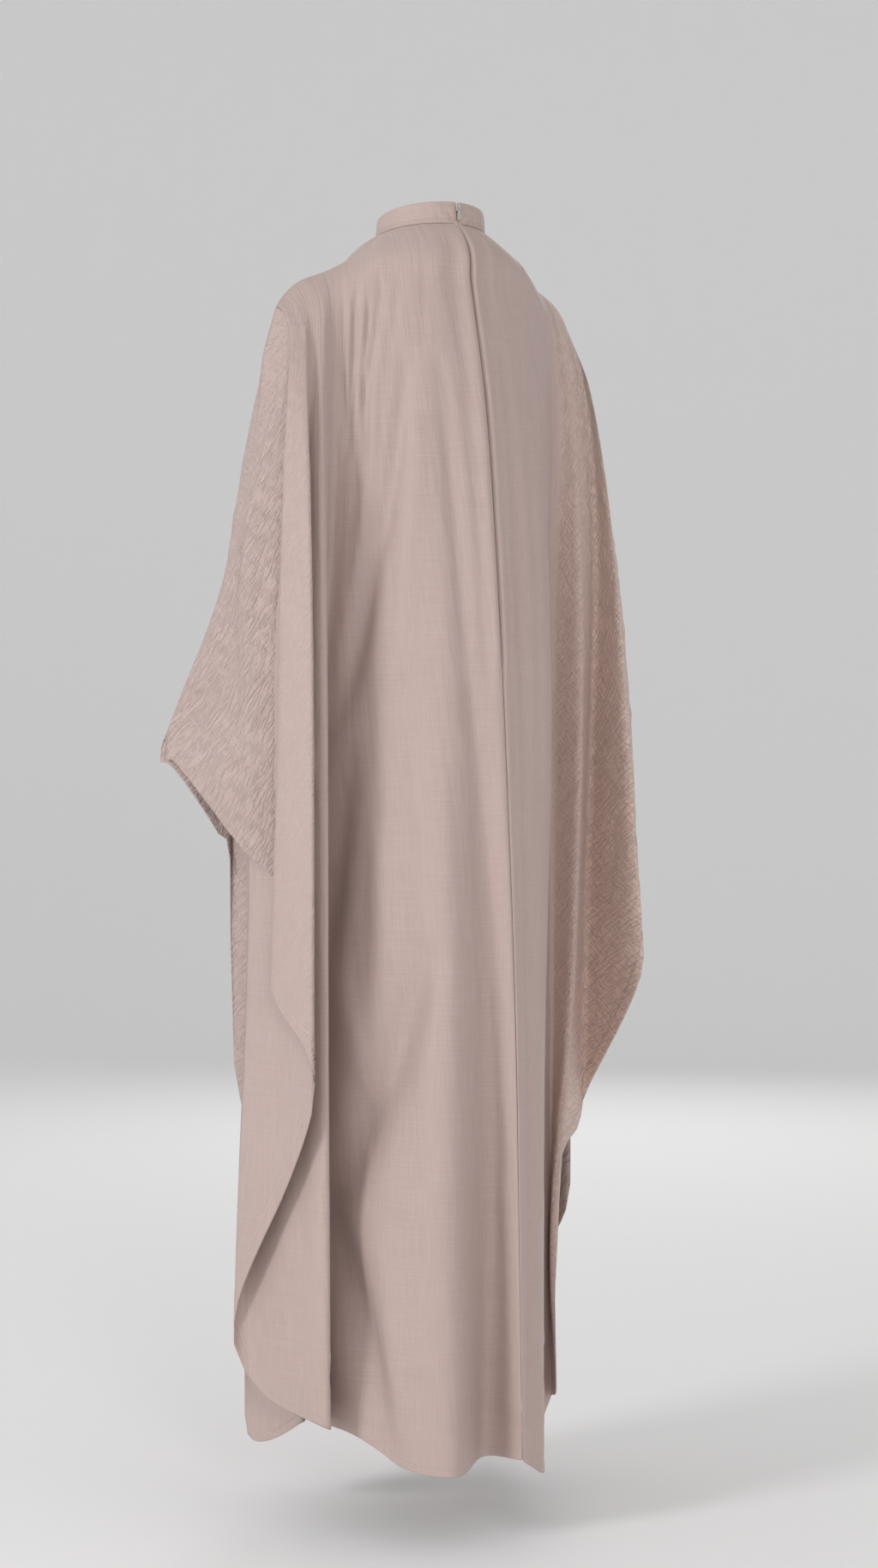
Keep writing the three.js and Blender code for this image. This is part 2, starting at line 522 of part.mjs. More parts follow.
// Zip slider at the top of the collar: a plate on the outside, a tongue between the collar ends and a bail.
const wasm = await Module();
wasm.setup();
const toSolid = (geometry) => {
  geometry.deleteAttribute('normal');
  geometry.deleteAttribute('uv');
  const merged = mergeVertices(geometry, 1e-4);
  return new wasm.Manifold(new wasm.Mesh({
    numProp: 3,
    vertProperties: Float32Array.from(merged.attributes.position.array),
    triVerts: Uint32Array.from(merged.index.array),
  }));
};
const fromSolid = (solid) => {
  const mesh = solid.getMesh();
  const geometry = new THREE.BufferGeometry();
  geometry.setAttribute('position', new THREE.Float32BufferAttribute(mesh.vertProperties, 3));
  geometry.setIndex(Array.from(mesh.triVerts));
  geometry.computeVertexNormals();
  return geometry;
};
const collarFace = NECK.halfDepth + COLLAR.wall / 2;
const plateFace = collarFace + 0.4 + ZIP.bodyDepth;
const plate = new THREE.BoxGeometry(ZIP.bodyWidth, ZIP.bodyDepth, ZIP.bodyHeight);
plate.translate(0, plateFace - ZIP.bodyDepth / 2, ZIP.height);
const tongue = new THREE.BoxGeometry(ZIP.tongue, 3.2, ZIP.bodyHeight);
tongue.translate(0, plateFace - ZIP.bodyDepth - 1.2, ZIP.height);
// The bail is an arch in the middle plane; its outline is drawn with y to the right and z up.
const bailOuter = BAIL.hole / 2 + BAIL.bar;
const bailShape = new THREE.Shape();
bailShape.moveTo(-0.4, -bailOuter);
bailShape.lineTo(BAIL.reach, -bailOuter);
bailShape.lineTo(BAIL.reach + BAIL.bar, -bailOuter + BAIL.bar);
bailShape.lineTo(BAIL.reach + BAIL.bar, bailOuter - BAIL.bar);
bailShape.lineTo(BAIL.reach, bailOuter);
bailShape.lineTo(-0.4, bailOuter);
bailShape.closePath();
const bailHole = new THREE.Path();
bailHole.moveTo(0, -BAIL.hole / 2);
bailHole.lineTo(0, BAIL.hole / 2);
bailHole.lineTo(BAIL.reach, BAIL.hole / 2);
bailHole.lineTo(BAIL.reach, -BAIL.hole / 2);
bailHole.closePath();
bailShape.holes.push(bailHole);
const bail = new THREE.ExtrudeGeometry(bailShape, { depth: BAIL.width, bevelEnabled: false });
// Stands the drawing up: drawn x becomes y, drawn y becomes z, and the extrusion runs along x.
bail.applyMatrix4(new THREE.Matrix4().set(
  0, 0, 1, -BAIL.width / 2,
  1, 0, 0, plateFace,
  0, 1, 0, ZIP.height,
  0, 0, 0, 1,
));
const metal = (name, geometry) => {
  const mesh = new THREE.Mesh(geometry, new THREE.MeshStandardMaterial(METAL_LOOK));
  mesh.name = name;
  group.add(mesh);
  return mesh;
};
metal('zip_slider', fromSolid(toSolid(plate).add(toSolid(tongue)).add(toSolid(bail))));

// Pull tab: a drop with an eye round the bail, hanging from the middle of the bail's hole.
const half = PULL.width / 2;
const pullShape = new THREE.Shape();
pullShape.moveTo(-1.7, PULL.rim);
pullShape.lineTo(1.7, PULL.rim);
pullShape.lineTo(1.7, -PULL.eyeLength - 1.2);
pullShape.bezierCurveTo(1.9, -7, half, -8.5, half, -PULL.length + half + 1);
pullShape.bezierCurveTo(half, -PULL.length + 0.6, 1.2, -PULL.length + PULL.rim, 0, -PULL.length + PULL.rim);
pullShape.bezierCurveTo(
  -1.2, -PULL.length + PULL.rim, -half, -PULL.length + 0.6, -half, -PULL.length + half + 1,
);
pullShape.bezierCurveTo(-half, -8.5, -1.9, -7, -1.7, -PULL.eyeLength - 1.2);
pullShape.closePath();
const eye = new THREE.Path();
eye.moveTo(-PULL.eye / 2, -PULL.rim);
eye.lineTo(-PULL.eye / 2, -PULL.rim - PULL.eyeLength);
eye.lineTo(PULL.eye / 2, -PULL.rim - PULL.eyeLength);
eye.lineTo(PULL.eye / 2, -PULL.rim);
eye.closePath();
pullShape.holes.push(eye);
const pull = new THREE.ExtrudeGeometry(pullShape, {
  depth: PULL.thickness,
  bevelEnabled: false,
  curveSegments: 4,
});
pull.translate(0, 0, -PULL.thickness / 2);
pull.rotateX(Math.PI / 2);
pull.translate(0, plateFace + BAIL.reach / 2, ZIP.height);
metal('zip_pull', pull);

export default group;
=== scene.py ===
import math

import bmesh
import bpy
import numpy as np
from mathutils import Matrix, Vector


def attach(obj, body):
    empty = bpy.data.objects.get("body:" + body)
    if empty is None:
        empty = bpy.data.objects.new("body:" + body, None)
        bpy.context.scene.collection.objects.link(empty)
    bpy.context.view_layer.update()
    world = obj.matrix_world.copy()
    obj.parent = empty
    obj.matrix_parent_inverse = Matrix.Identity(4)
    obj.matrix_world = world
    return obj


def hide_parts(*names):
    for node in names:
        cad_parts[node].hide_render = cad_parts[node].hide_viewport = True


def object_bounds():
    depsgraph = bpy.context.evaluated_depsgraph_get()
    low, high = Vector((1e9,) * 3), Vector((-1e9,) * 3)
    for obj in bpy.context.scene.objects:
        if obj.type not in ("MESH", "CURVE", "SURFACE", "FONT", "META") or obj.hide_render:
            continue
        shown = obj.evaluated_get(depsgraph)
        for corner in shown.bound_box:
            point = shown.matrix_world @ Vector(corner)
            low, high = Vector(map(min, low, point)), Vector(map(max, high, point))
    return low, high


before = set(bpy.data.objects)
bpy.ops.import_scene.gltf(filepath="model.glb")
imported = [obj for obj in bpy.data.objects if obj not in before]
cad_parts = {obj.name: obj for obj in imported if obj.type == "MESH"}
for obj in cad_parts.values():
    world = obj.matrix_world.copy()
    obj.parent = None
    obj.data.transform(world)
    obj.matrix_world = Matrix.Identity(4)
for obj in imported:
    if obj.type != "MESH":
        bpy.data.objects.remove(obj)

cad_low, cad_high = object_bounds()

# Camera. It stands at the height of the wearer's thighs, behind the wearer's left shoulder, and frames the
# whole garment with air round it.
CAMERA_SIDE = math.radians(150)      # direction of the camera's right hand
CAMERA_DISTANCE = 3.2
CAMERA_HEIGHT = -0.605
CAMERA_SHIFT = 0.010                 # the camera stands this far to the right of the garment's middle
LENS, CAMERA_REACH = 62.98, 60
right_way = Vector((math.cos(CAMERA_SIDE), math.sin(CAMERA_SIDE), 0))
to_camera = Vector((math.sin(CAMERA_SIDE), -math.cos(CAMERA_SIDE), 0))
camera_data = bpy.data.cameras.new("camera")
camera_data.lens = LENS
camera_data.clip_end = CAMERA_REACH
camera = bpy.data.objects.new("camera", camera_data)
bpy.context.collection.objects.link(camera)
camera.location = right_way * CAMERA_SHIFT + to_camera * CAMERA_DISTANCE + Vector((0, 0, CAMERA_HEIGHT))
camera.rotation_euler = (math.pi / 2, 0, CAMERA_SIDE)
bpy.context.scene.camera = camera


# Studio. A plain pale floor that curves up into a wall all round, a soft lamp to the left of the camera, a
# weaker one just to its right and a wide one for the far side.
FLOOR_GAP = 0.06
FLOOR_RADIUS = 8.5
WALL_HEIGHT = 5.2
WALL_CURVE = 3.6
CURVE_STEPS, ROUND_STEPS = 12, 96
STUDIO_GREY = 0.95
WORLD_GREY, WORLD_STRENGTH = 0.90, 0.60


def new_material(name):
    """A new material, its node tree and its shader."""
    material = bpy.data.materials.new(name)
    material.use_nodes = True
    return material, material.node_tree, material.node_tree.nodes["Principled BSDF"]


def set_inputs(node, values):
    """Sets numbers and colours on a node's own sockets."""
    for socket, value in values.items():
        node.inputs[socket].default_value = value


def finish_mesh(name, bm, material):
    """Makes a piece's object from its bmesh and gives it its material."""
    mesh = bpy.data.meshes.new(name)
    bm.to_mesh(mesh)
    bm.free()
    mesh.materials.append(material)
    piece = bpy.data.objects.new(name, mesh)
    bpy.context.collection.objects.link(piece)
    return piece


curve_start = FLOOR_RADIUS - WALL_CURVE
profile = [(0.0, 0.0), (curve_start, 0.0)]
for i in range(1, CURVE_STEPS + 1):
    turn = math.pi / 2 * i / CURVE_STEPS
    profile.append((curve_start + WALL_CURVE * math.sin(turn), WALL_CURVE * (1 - math.cos(turn))))
profile.append((FLOOR_RADIUS, WALL_HEIGHT))
floor_height = cad_low.z - FLOOR_GAP
bm = bmesh.new()
points = [bm.verts.new((r, 0, floor_height + z)) for r, z in profile]
edges = [bm.edges.new(pair) for pair in zip(points[:-1], points[1:])]
bmesh.ops.spin(bm, geom=points + edges, cent=(0, 0, 0), axis=(0, 0, 1), angle=2 * math.pi,
               steps=ROUND_STEPS, use_merge=True)
bmesh.ops.remove_doubles(bm, verts=bm.verts, dist=1e-4)
for face in bm.faces:
    face.smooth = True
paint, _, surface = new_material("studio_grey")
set_inputs(surface, {"Base Color": (STUDIO_GREY, STUDIO_GREY, STUDIO_GREY, 1), "Roughness": 0.95,
                     "Specular IOR Level": 0.1})
bowl = finish_mesh("studio_floor", bm, paint)

world = bpy.data.worlds.new("studio_air")
world.use_nodes = True
air = world.node_tree.nodes["Background"]
air.inputs["Color"].default_value = (WORLD_GREY, WORLD_GREY, WORLD_GREY, 1)
air.inputs["Strength"].default_value = WORLD_STRENGTH
bpy.context.scene.world = world
bpy.context.scene.view_settings.view_transform = "Standard"
bpy.context.scene.view_settings.look = "None"

# name, degrees round from the camera (to its left), height above the floor, distance, width, watts, colour
SOFT_LAMPS = [
    ("key_lamp", 50, 2.1, 4.2, 1.1, 66, (0.985, 0.985, 1.0)),
    ("fill_lamp", -12, 1.5, 4.4, 1.0, 31, (1.0, 0.985, 0.97)),
    ("far_lamp", 186, 2.3, 4.0, 2.4, 26, (1.0, 0.99, 0.98)),
]
AIM = Vector((0, 0, -0.65))
for name, turn, height, distance, width, watts, colour in SOFT_LAMPS:
    lamp_data = bpy.data.lights.new(name, "AREA")
    lamp_data.shape = "DISK"
    lamp_data.size = width
    lamp_data.energy = watts
    lamp_data.color = colour
    lamp = bpy.data.objects.new(name, lamp_data)
    bpy.context.collection.objects.link(lamp)
    angle = CAMERA_SIDE - math.pi / 2 - math.radians(turn)
    lamp.location = (distance * math.cos(angle), distance * math.sin(angle), cad_low.z + height)
    lamp.rotation_euler = (AIM - lamp.location).to_track_quat("-Z", "Y").to_euler()


# Back panel on the wearer's left, with its sleeve and wing in one piece. Linen, with the centre back edge
# turned in along the zip and seam, and a narrow stitched hem round the wing's free edge and the bottom.

# The linen is one cloth for the whole garment: a soft, slightly shiny plain weave with slub threads both
# ways, which creases finely on the bias. Its UV map runs in metres along the cloth, "bias" is 1 where the
# cloth hangs on the bias, and "hem" is the distance from the free edge, where stitches hold the turning.
LINEN_TONE = (0.552, 0.432, 0.402)
# the deep tone is the darker threads' own colour, and also the painted shade in the dent along the hem
# stitches
LINEN_DEEP = (0.48, 0.358, 0.32)
LINEN_PALE = (0.64, 0.528, 0.49)
LINEN_PAINTED_GLOW = (0.78, 0.59, 0.51)     # a painted glow: paler and warmer, as thin cloth looks where light comes through it
LINEN_ROUGHNESS = 0.56
BIAS_TURN = 38                       # degrees that the threads are turned where the cloth hangs on the bias
HEM_TURN = 0.009
STITCH_LINE = 0.0078                 # distance of the row of stitches from the free edge
HEM_STITCH_PITCH, HEM_STITCH_SHARE, HEM_THREAD = 0.0032, 0.72, 0.00042
DENT_STEEPNESS = 700.0               # the dent along the stitches, and the shade painted into it, fades over 1 / 700 m on each side


def wire(tree, start, end):
    tree.links.new(start, end)


def node_of(tree, kind, **settings):
    node = tree.nodes.new(kind)
    for key, value in settings.items():
        setattr(node, key, value)
    return node


def feed(tree, slot, value):
    """Gives an input a number, a colour or another node's output."""
    if isinstance(value, (int, float)):
        slot.default_value = value
    elif isinstance(value, tuple):
        slot.default_value = (*value, 1)
    else:
        wire(tree, value, slot)


def scalar(tree, operation, first, second=None, clamp=False):
    """A Math node; each input is a socket or a number."""
    node = node_of(tree, "ShaderNodeMath", operation=operation, use_clamp=clamp)
    feed(tree, node.inputs[0], first)
    if second is not None:
        feed(tree, node.inputs[1], second)
    return node.outputs[0]


def steepened(tree, value, low, gain):
    """The value less low, times gain, kept between 0 and 1."""
    return scalar(tree, "MULTIPLY", scalar(tree, "SUBTRACT", value, low), gain, True)


def weighted_sum(tree, terms):
    """The sum of the terms, each a value and its share."""
    total = None
    for value, share in terms:
        term = scalar(tree, "MULTIPLY", value, share)
        total = term if total is None else scalar(tree, "ADD", total, term)
    return total


def blend_colours(tree, share, first, second):
    mix = node_of(tree, "ShaderNodeMix", data_type="RGBA")
    for slot, value in zip((mix.inputs[0], mix.inputs[6], mix.inputs[7]), (share, first, second)):
        feed(tree, slot, value)
    return mix.outputs[2]


def blend_values(tree, share, first, second):
    mix = node_of(tree, "ShaderNodeMix", data_type="FLOAT")
    for slot, value in zip((mix.inputs[0], mix.inputs[2], mix.inputs[3]), (share, first, second)):
        feed(tree, slot, value)
    return mix.outputs[0]


def bumped(tree, height, strength, distance, under=None):
    """Normal of the surface with the height on it, laid over another bump where under is given."""
    bump = node_of(tree, "ShaderNodeBump")
    set_inputs(bump, {"Strength": strength, "Distance": distance})
    wire(tree, height, bump.inputs["Height"])
    if under is not None:
        wire(tree, under, bump.inputs["Normal"])
    return bump.outputs[0]


def threads(tree, place, turn, pitch, detail=2.0, lift=0.0):
    """Noise drawn out along one way of the cloth; turn is in degrees, pitch is metres along and across."""
    # the pattern is turned first and squeezed afterwards, so two mappings are needed
    spin = node_of(tree, "ShaderNodeMapping")
    set_inputs(spin, {"Rotation": (0, 0, math.radians(turn)), "Location": (lift, 1.7 * lift, 0)})
    squeeze = node_of(tree, "ShaderNodeMapping")
    set_inputs(squeeze, {"Scale": (1 / pitch[0], 1 / pitch[1], 1)})
    noise = node_of(tree, "ShaderNodeTexNoise")
    set_inputs(noise, {"Scale": 1.0, "Detail": detail})
    wire(tree, place, spin.inputs["Vector"])
    wire(tree, spin.outputs[0], squeeze.inputs["Vector"])
    wire(tree, squeeze.outputs[0], noise.inputs["Vector"])
    return noise.outputs["Fac"]


def ridged(tree, value, share):
    """Turns noise into narrow ridges, for sharp little creases."""
    fold = scalar(tree, "ABSOLUTE", scalar(tree, "SUBTRACT", value, 0.5))
    ridge = scalar(tree, "SUBTRACT", 1.0, scalar(tree, "MULTIPLY", fold, 7.0, True))
    return scalar(tree, "MULTIPLY", scalar(tree, "MULTIPLY", ridge, ridge), share)


def make_linen(name, crinkle_lean, cross_turn, cross_share, painted_glow_share):
    """crinkle_lean is the lean in degrees of the fine creases where the cloth hangs on the bias, cross_turn
    the angle from them to the creases that cross them, cross_share how strong those are, and the last
    argument the share there of the painted glow, a paler, warmer tone as if light came through the cloth."""
    material, tree, surface = new_material(name)
    place = node_of(tree, "ShaderNodeUVMap", uv_map="cloth").outputs[0]
    bias = node_of(tree, "ShaderNodeAttribute", attribute_name="bias").outputs["Fac"]
    hem = node_of(tree, "ShaderNodeAttribute", attribute_name="hem").outputs["Fac"]

    def both_hangs(straight, slanted, detail=2.0, lift=0.0):
        """Threads that run straight on the body and are turned where the cloth hangs on the bias."""
        return blend_values(tree, bias, threads(tree, place, 0, straight, detail, lift),
                            threads(tree, place, BIAS_TURN, slanted, detail, lift))

    # fine threads both ways
    warp = both_hangs((0.0011, 0.045), (0.0012, 0.05))
    weft = both_hangs((0.05, 0.0011), (0.055, 0.0012), lift=3)
    weave = scalar(tree, "ADD", warp, weft)

    # slubs: a few thicker threads stand out pale
    slub_up = both_hangs((0.0022, 0.11), (0.0024, 0.12), 1.0, 7)
    slub_across = both_hangs((0.10, 0.0022), (0.12, 0.0024), 1.0, 11)
    slub = scalar(tree, "MAXIMUM", slub_up, scalar(tree, "MULTIPLY", slub_across, 0.97))
    slub = steepened(tree, slub, 0.60, 7.0)

    # creases: short and steep on the bias, faint and upright on the body
    sharp = threads(tree, place, crinkle_lean, (0.0050, 0.026), 2.0, 17)
    cross = threads(tree, place, crinkle_lean + cross_turn, (0.0050, 0.030), 2.0, 19)
    broad = threads(tree, place, crinkle_lean * 0.8, (0.016, 0.055), 2.0, 23)
    faint = threads(tree, place, 4, (0.010, 0.09), 2.0, 29)
    crease = scalar(tree, "ADD", ridged(tree, sharp, 0.26), ridged(tree, cross, cross_share))
    crease = scalar(tree, "ADD", crease, scalar(tree, "MULTIPLY", broad, 0.75))
    crease = blend_values(tree, bias, scalar(tree, "MULTIPLY", faint, 0.34), crease)

    # colour: the threads, slow changes of tone, a painted glow of light through the bias cloth and the pale
    # slubs
    cloud = threads(tree, place, 12, (0.09, 0.16), 2.0, 41)
    tone = blend_colours(tree, steepened(tree, weave, 0.62, 1.3), LINEN_DEEP, LINEN_TONE)
    tone = blend_colours(tree, steepened(tree, cloud, 0.35, 0.8), tone, LINEN_TONE)
    # painted glow: the bias cloth is blended towards a paler, warmer tone, as if light came through it
    tone = blend_colours(tree, scalar(tree, "MULTIPLY", bias, painted_glow_share), tone, LINEN_PAINTED_GLOW)
    slub_share = scalar(tree, "MULTIPLY", slub, blend_values(tree, bias, 0.14, 0.42))
    tone = blend_colours(tree, slub_share, tone, LINEN_PALE)

    # the row of stitches that holds the turned hem, and the soft dent along it, with shade painted into the
    # dent
    along = node_of(tree, "ShaderNodeSeparateXYZ")
    wire(tree, place, along.inputs[0])
    walked = scalar(tree, "ADD", along.outputs[0], along.outputs[1])
    step = scalar(tree, "FRACT", scalar(tree, "MULTIPLY", walked, 1 / HEM_STITCH_PITCH))
    dash = scalar(tree, "LESS_THAN", step, HEM_STITCH_SHARE)
    off_line = scalar(tree, "ABSOLUTE", scalar(tree, "SUBTRACT", hem, STITCH_LINE))
    on_line = scalar(tree, "LESS_THAN", off_line, HEM_THREAD)
    stitch = scalar(tree, "MULTIPLY", on_line, dash)
    dent = scalar(tree, "SUBTRACT", 1.0, scalar(tree, "MULTIPLY", off_line, DENT_STEEPNESS, True), True)
    # painted shade: the cloth is darkened in the dent along the stitches
    tone = blend_colours(tree, scalar(tree, "MULTIPLY", dent, 0.65), tone, LINEN_DEEP)
    tone = blend_colours(tree, scalar(tree, "MULTIPLY", stitch, 0.75), tone, LINEN_PALE)
    wire(tree, tone, surface.inputs["Base Color"])

    height = weighted_sum(tree, [(weave, 0.16), (slub, 0.10), (dent, -0.95), (stitch, 0.45)])
    woven = bumped(tree, height, 0.55, 0.0007)
    wire(tree, bumped(tree, crease, 0.95, 0.0040, woven), surface.inputs["Normal"])
    set_inputs(surface, {"Roughness": LINEN_ROUGHNESS, "Specular IOR Level": 0.32, "Sheen Weight": 0.22,
                         "Sheen Roughness": 0.45, "Sheen Tint": (0.93, 0.86, 0.90, 1)})
    return material


linen = make_linen("linen", -28, 70, 0.08, 0.0)

# How a panel hangs. The sleeve seam runs from the side of the neck to the sleeve's tip, and each panel is a
# table of cloth lines: its name, how far along the neck edge and seam it starts, the height of its lower end,
# and its place, out from the middle and front to back, at seven heights. All in mm, heights from the hem.
MM = 0.001
SHOULDER_HEIGHT = 1360
NECK_HALF_WIDTH, NECK_HALF_DEPTH, NECK_HEIGHT, NECK_RISE, NECK_ROUND = 63, 62, 1391, 6, 52
NECK_QUARTER = (math.pi / 4) * (NECK_HALF_WIDTH + NECK_HALF_DEPTH)
LEVELS = (1330, 1180, 1000, 800, 500, 220, 0)
WIDTH_LEVELS = (1130, 960, 760)      # the cloth's width is measured at these heights
HEM_THICKNESS, CLOTH_SHARE = 0.0011, 0.5   # the turned hem is two layers, so the cloth is half as thick
EVEN_FROM = 17                       # from here the mesh's columns are a step apart
BACK_COLUMNS = (4.2, (0, 0.7, 1.5, 2.6, 4.0, 5.8, 8.0, 10.6, 13.6))
FRONT_COLUMNS = (4.4, (0, 5.5, 11))
BODY_ROWS, TURN_STEPS = 209, 10
WIDEST_TURNING = 34                  # the hem's turning never takes more than this height
# the cloth's rounding changes from the neck's to the arm's over this stretch of the seam
ROUNDING_FROM, ROUNDING_OVER, NECK_ROUNDING, ARM_ROUNDING = 40, 160, 0.95, 0.6
ZIP_END = 885                        # height of the lower end of the zip
SEAM_HALF_GAP = 0.3                  # each half of the back stops this far from the middle
# x out, y, z and the depth over which the cloth rounds over the shoulder or arm
LEFT_SEAM = [
    (63.6, 0, 1391, 50),
    (98, 0, 1362, 50),
    (136, 0, 1341, 58),
    (174, 0, 1324, 64),
    (198, -1, 1298, 66),
    (209, -2, 1264, 64),
    (216, -4, 1236, 64),
    (219, -8, 1181, 64),
    (227, -12, 1122, 64),
    (236, -18, 1064, 64),
    (245, -28, 1006, 60),
    (257, -45, 948, 52),
    (272, -69, 889, 40),
    (286, -91, 832, 24),
    (291, -105.5, 806, 12),
]
RIGHT_SEAM = [
    (63.6, 0, 1391, 50),
    (98, 0, 1370, 50),
    (134, 0, 1348, 58),
    (172, -2, 1327, 64),
    (191, -4, 1300, 66),
    (201, -8, 1266, 64),
    (206, -17, 1208, 64),
    (213, -24, 1148, 64),
    (229, -28, 1087, 64),
    (252, -33, 1025, 60),
    (279, -41, 963, 52),
    (294, -47, 900, 44),
    (307, -53, 838, 34),
    (320, -58, 775, 22),
    (328, -62, 738, 12),
]


def smooth(keys, values, k):
    """Smooth value through the points (keys, values), with each point's slope taken from its neighbours."""
    keys = np.asarray(keys, float)
    values = np.asarray(values, float)
    if keys[0] > keys[-1]:
        keys, values = keys[::-1], values[::-1]
    n = len(keys)
    low, high = np.maximum(np.arange(n) - 1, 0), np.minimum(np.arange(n) + 1, n - 1)
    gap = keys[high] - keys[low]
    slope = (values[high] - values[low]) / (gap if values.ndim == 1 else gap[:, None])
    i = np.clip(np.searchsorted(keys, k) - 1, 0, n - 2)
    h = keys[i + 1] - keys[i]
    t = np.clip((k - keys[i]) / h, 0, 1)
    return ((2 * t ** 3 - 3 * t ** 2 + 1) * values[i] + (t ** 3 - 2 * t ** 2 + t) * h * slope[i]
            + (-2 * t ** 3 + 3 * t ** 2) * values[i + 1] + (t ** 3 - t ** 2) * h * slope[i + 1])


def top_edge(seam, facing, s):
    """Point of the neck ring or sleeve seam at the distance s along it, and the rounding depth there."""
    if s < NECK_QUARTER:
        angle = s / NECK_QUARTER * math.pi / 2
        rise = facing * math.cos(angle)
        return (NECK_HALF_WIDTH * math.sin(angle), rise * NECK_HALF_DEPTH, NECK_HEIGHT + NECK_RISE * rise,
                NECK_ROUND)
    points = np.array(seam, float)
    steps = np.linalg.norm(np.diff(points[:, :3], axis=0), axis=1)
    lengths = NECK_QUARTER + np.concatenate([[0], np.cumsum(steps)])
    return tuple(smooth(lengths, points[:, axis], s) for axis in range(4))


def cloth_columns(table, step, first_columns):
    """Cloth lines about a step apart, closer at the first one, and how far across the cloth each is."""
    rows = np.arange(len(table))
    fine = np.linspace(0, len(table) - 1, 40 * (len(table) - 1) + 1)
    spans = []
    for height in WIDTH_LEVELS:
        at_height = np.array([[smooth(LEVELS, [p[axis] for p in row[3:]], height) for axis in (0, 1)]
                              for row in table])
        plan = np.array([smooth(rows, at_height, u) for u in fine])
        spans.append(np.concatenate([[0], np.cumsum(np.linalg.norm(np.diff(plan, axis=0), axis=1))]))
    across = np.mean(spans, axis=0)
    count = int((across[-1] - EVEN_FROM) / step)
    places = np.concatenate([first_columns, np.linspace(EVEN_FROM, across[-1], count)])
    return np.interp(places, across, fine), places


def hang_panel(table, seam, facing, mesh_columns):
    """Middle surface of a panel: points by column and row, and for each its place across the cloth, height,
    distance from the free edge and cloth line. facing is 1 for a back panel and -1 for the front."""
    rows = np.arange(len(table))
    columns, across = cloth_columns(table, *mesh_columns)
    tops = smooth(rows, [row[1] for row in table], columns)
    hems = smooth(rows, [row[2] for row in table], columns)
    slope = np.gradient(hems, across)
    points, heights, edge = [], [], []
    for u, s, hem, lean in zip(columns, tops, hems, slope):
        x_top, y_top, z_top, deep = top_edge(seam, facing, s)
        deep = min(deep, (z_top - hem) * 0.5)
        turning = min(HEM_TURN / MM * math.sqrt(1 + lean * lean), WIDEST_TURNING, (z_top - hem) * 0.25)
        turn = z_top - deep * (1 - np.cos(np.linspace(0, math.pi / 2, TURN_STEPS + 1)))
        fall = np.linspace(z_top - deep, hem + turning, BODY_ROWS)[1:]
        band = hem + turning * np.array([0.86, 0.5, 0.14, 0])
        z = np.concatenate([turn, fall, band])
        plan = [smooth(rows, np.array([smooth(LEVELS, [p[axis] for p in row[3:]], z) for row in table]), u)
                for axis in (0, 1)]
        q = (z_top - z) / deep
        share = min(max((s - ROUNDING_FROM) / ROUNDING_OVER, 0), 1)
        power = NECK_ROUNDING + (ARM_ROUNDING - NECK_ROUNDING) * share
        g = np.where(q < 1, np.maximum(q * (2 - q), 0) ** power, 1)
        points.append(np.stack([x_top + (plan[0] - x_top) * g, y_top + (plan[1] - y_top) * g, z], axis=1))
        heights.append(z)
        edge.append((z - hem) / turning * HEM_TURN)
    shape = np.array(heights).shape
    return {"points": np.array(points), "height": np.array(heights), "edge": np.array(edge),
            "across": np.broadcast_to(across[:, None], shape),
            "line": np.broadcast_to(columns[:, None], shape)}


def outward(points, facing):
    """Unit normals of a grid of points, away from the body."""
    along = np.gradient(points, axis=0)
    down = np.gradient(points, axis=1)
    normal = np.cross(along, down) * facing
    return normal / np.maximum(np.linalg.norm(normal, axis=2, keepdims=True), 1e-9)


def soft_line(panel, start, end, width, depth):
    """A soft ridge (depth above 0) or trough between two places, each given as cloth line and height."""
    lines, across = panel["line"][:, 0], panel["across"][:, 0]
    a = np.array([np.interp(start[0], lines, across), start[1]])
    b = np.array([np.interp(end[0], lines, across), end[1]])
    way = b - a
    length = np.hypot(*way)
    way = way / length
    x, z = panel["across"] - a[0], panel["height"] - a[1]
    t = np.clip((x * way[0] + z * way[1]) / length, 0, 1)
    off = np.hypot(x - t * length * way[0], z - t * length * way[1])
    taper = np.sin(math.pi * (0.06 + 0.88 * t)) ** 0.6
    return depth * np.exp(-(off / width) ** 2) * taper


def strewn_creases(panel, seed, count, lean, spread, length, depth, first_line, last_line, low, high):
    """Small creases strewn over a stretch of cloth; lean is in degrees from level, rising to the body."""
    chance = np.random.default_rng(seed)
    field = np.zeros(panel["height"].shape)
    a0, a1 = np.interp((first_line, last_line), panel["line"][:, 0], panel["across"][:, 0])
    for _ in range(count):
        x = panel["across"] - chance.uniform(a0, a1)
        z = panel["height"] - chance.uniform(low, high)
        angle = math.radians(chance.normal(lean, spread))
        half = chance.uniform(0.5, 1.0) * length / 2
        along = (-x * math.cos(angle) + z * math.sin(angle)) / half
        off = (x * math.sin(angle) + z * math.cos(angle)) / chance.uniform(4.2, 7.0)
        bend = chance.uniform(-0.6, 0.6)
        field += (chance.choice([-1.0, 1.0]) * depth * chance.uniform(0.4, 1.0)
                  * np.exp(-(off + bend * along * along) ** 2) * np.exp(-(along ** 2) * 1.6))
    return field


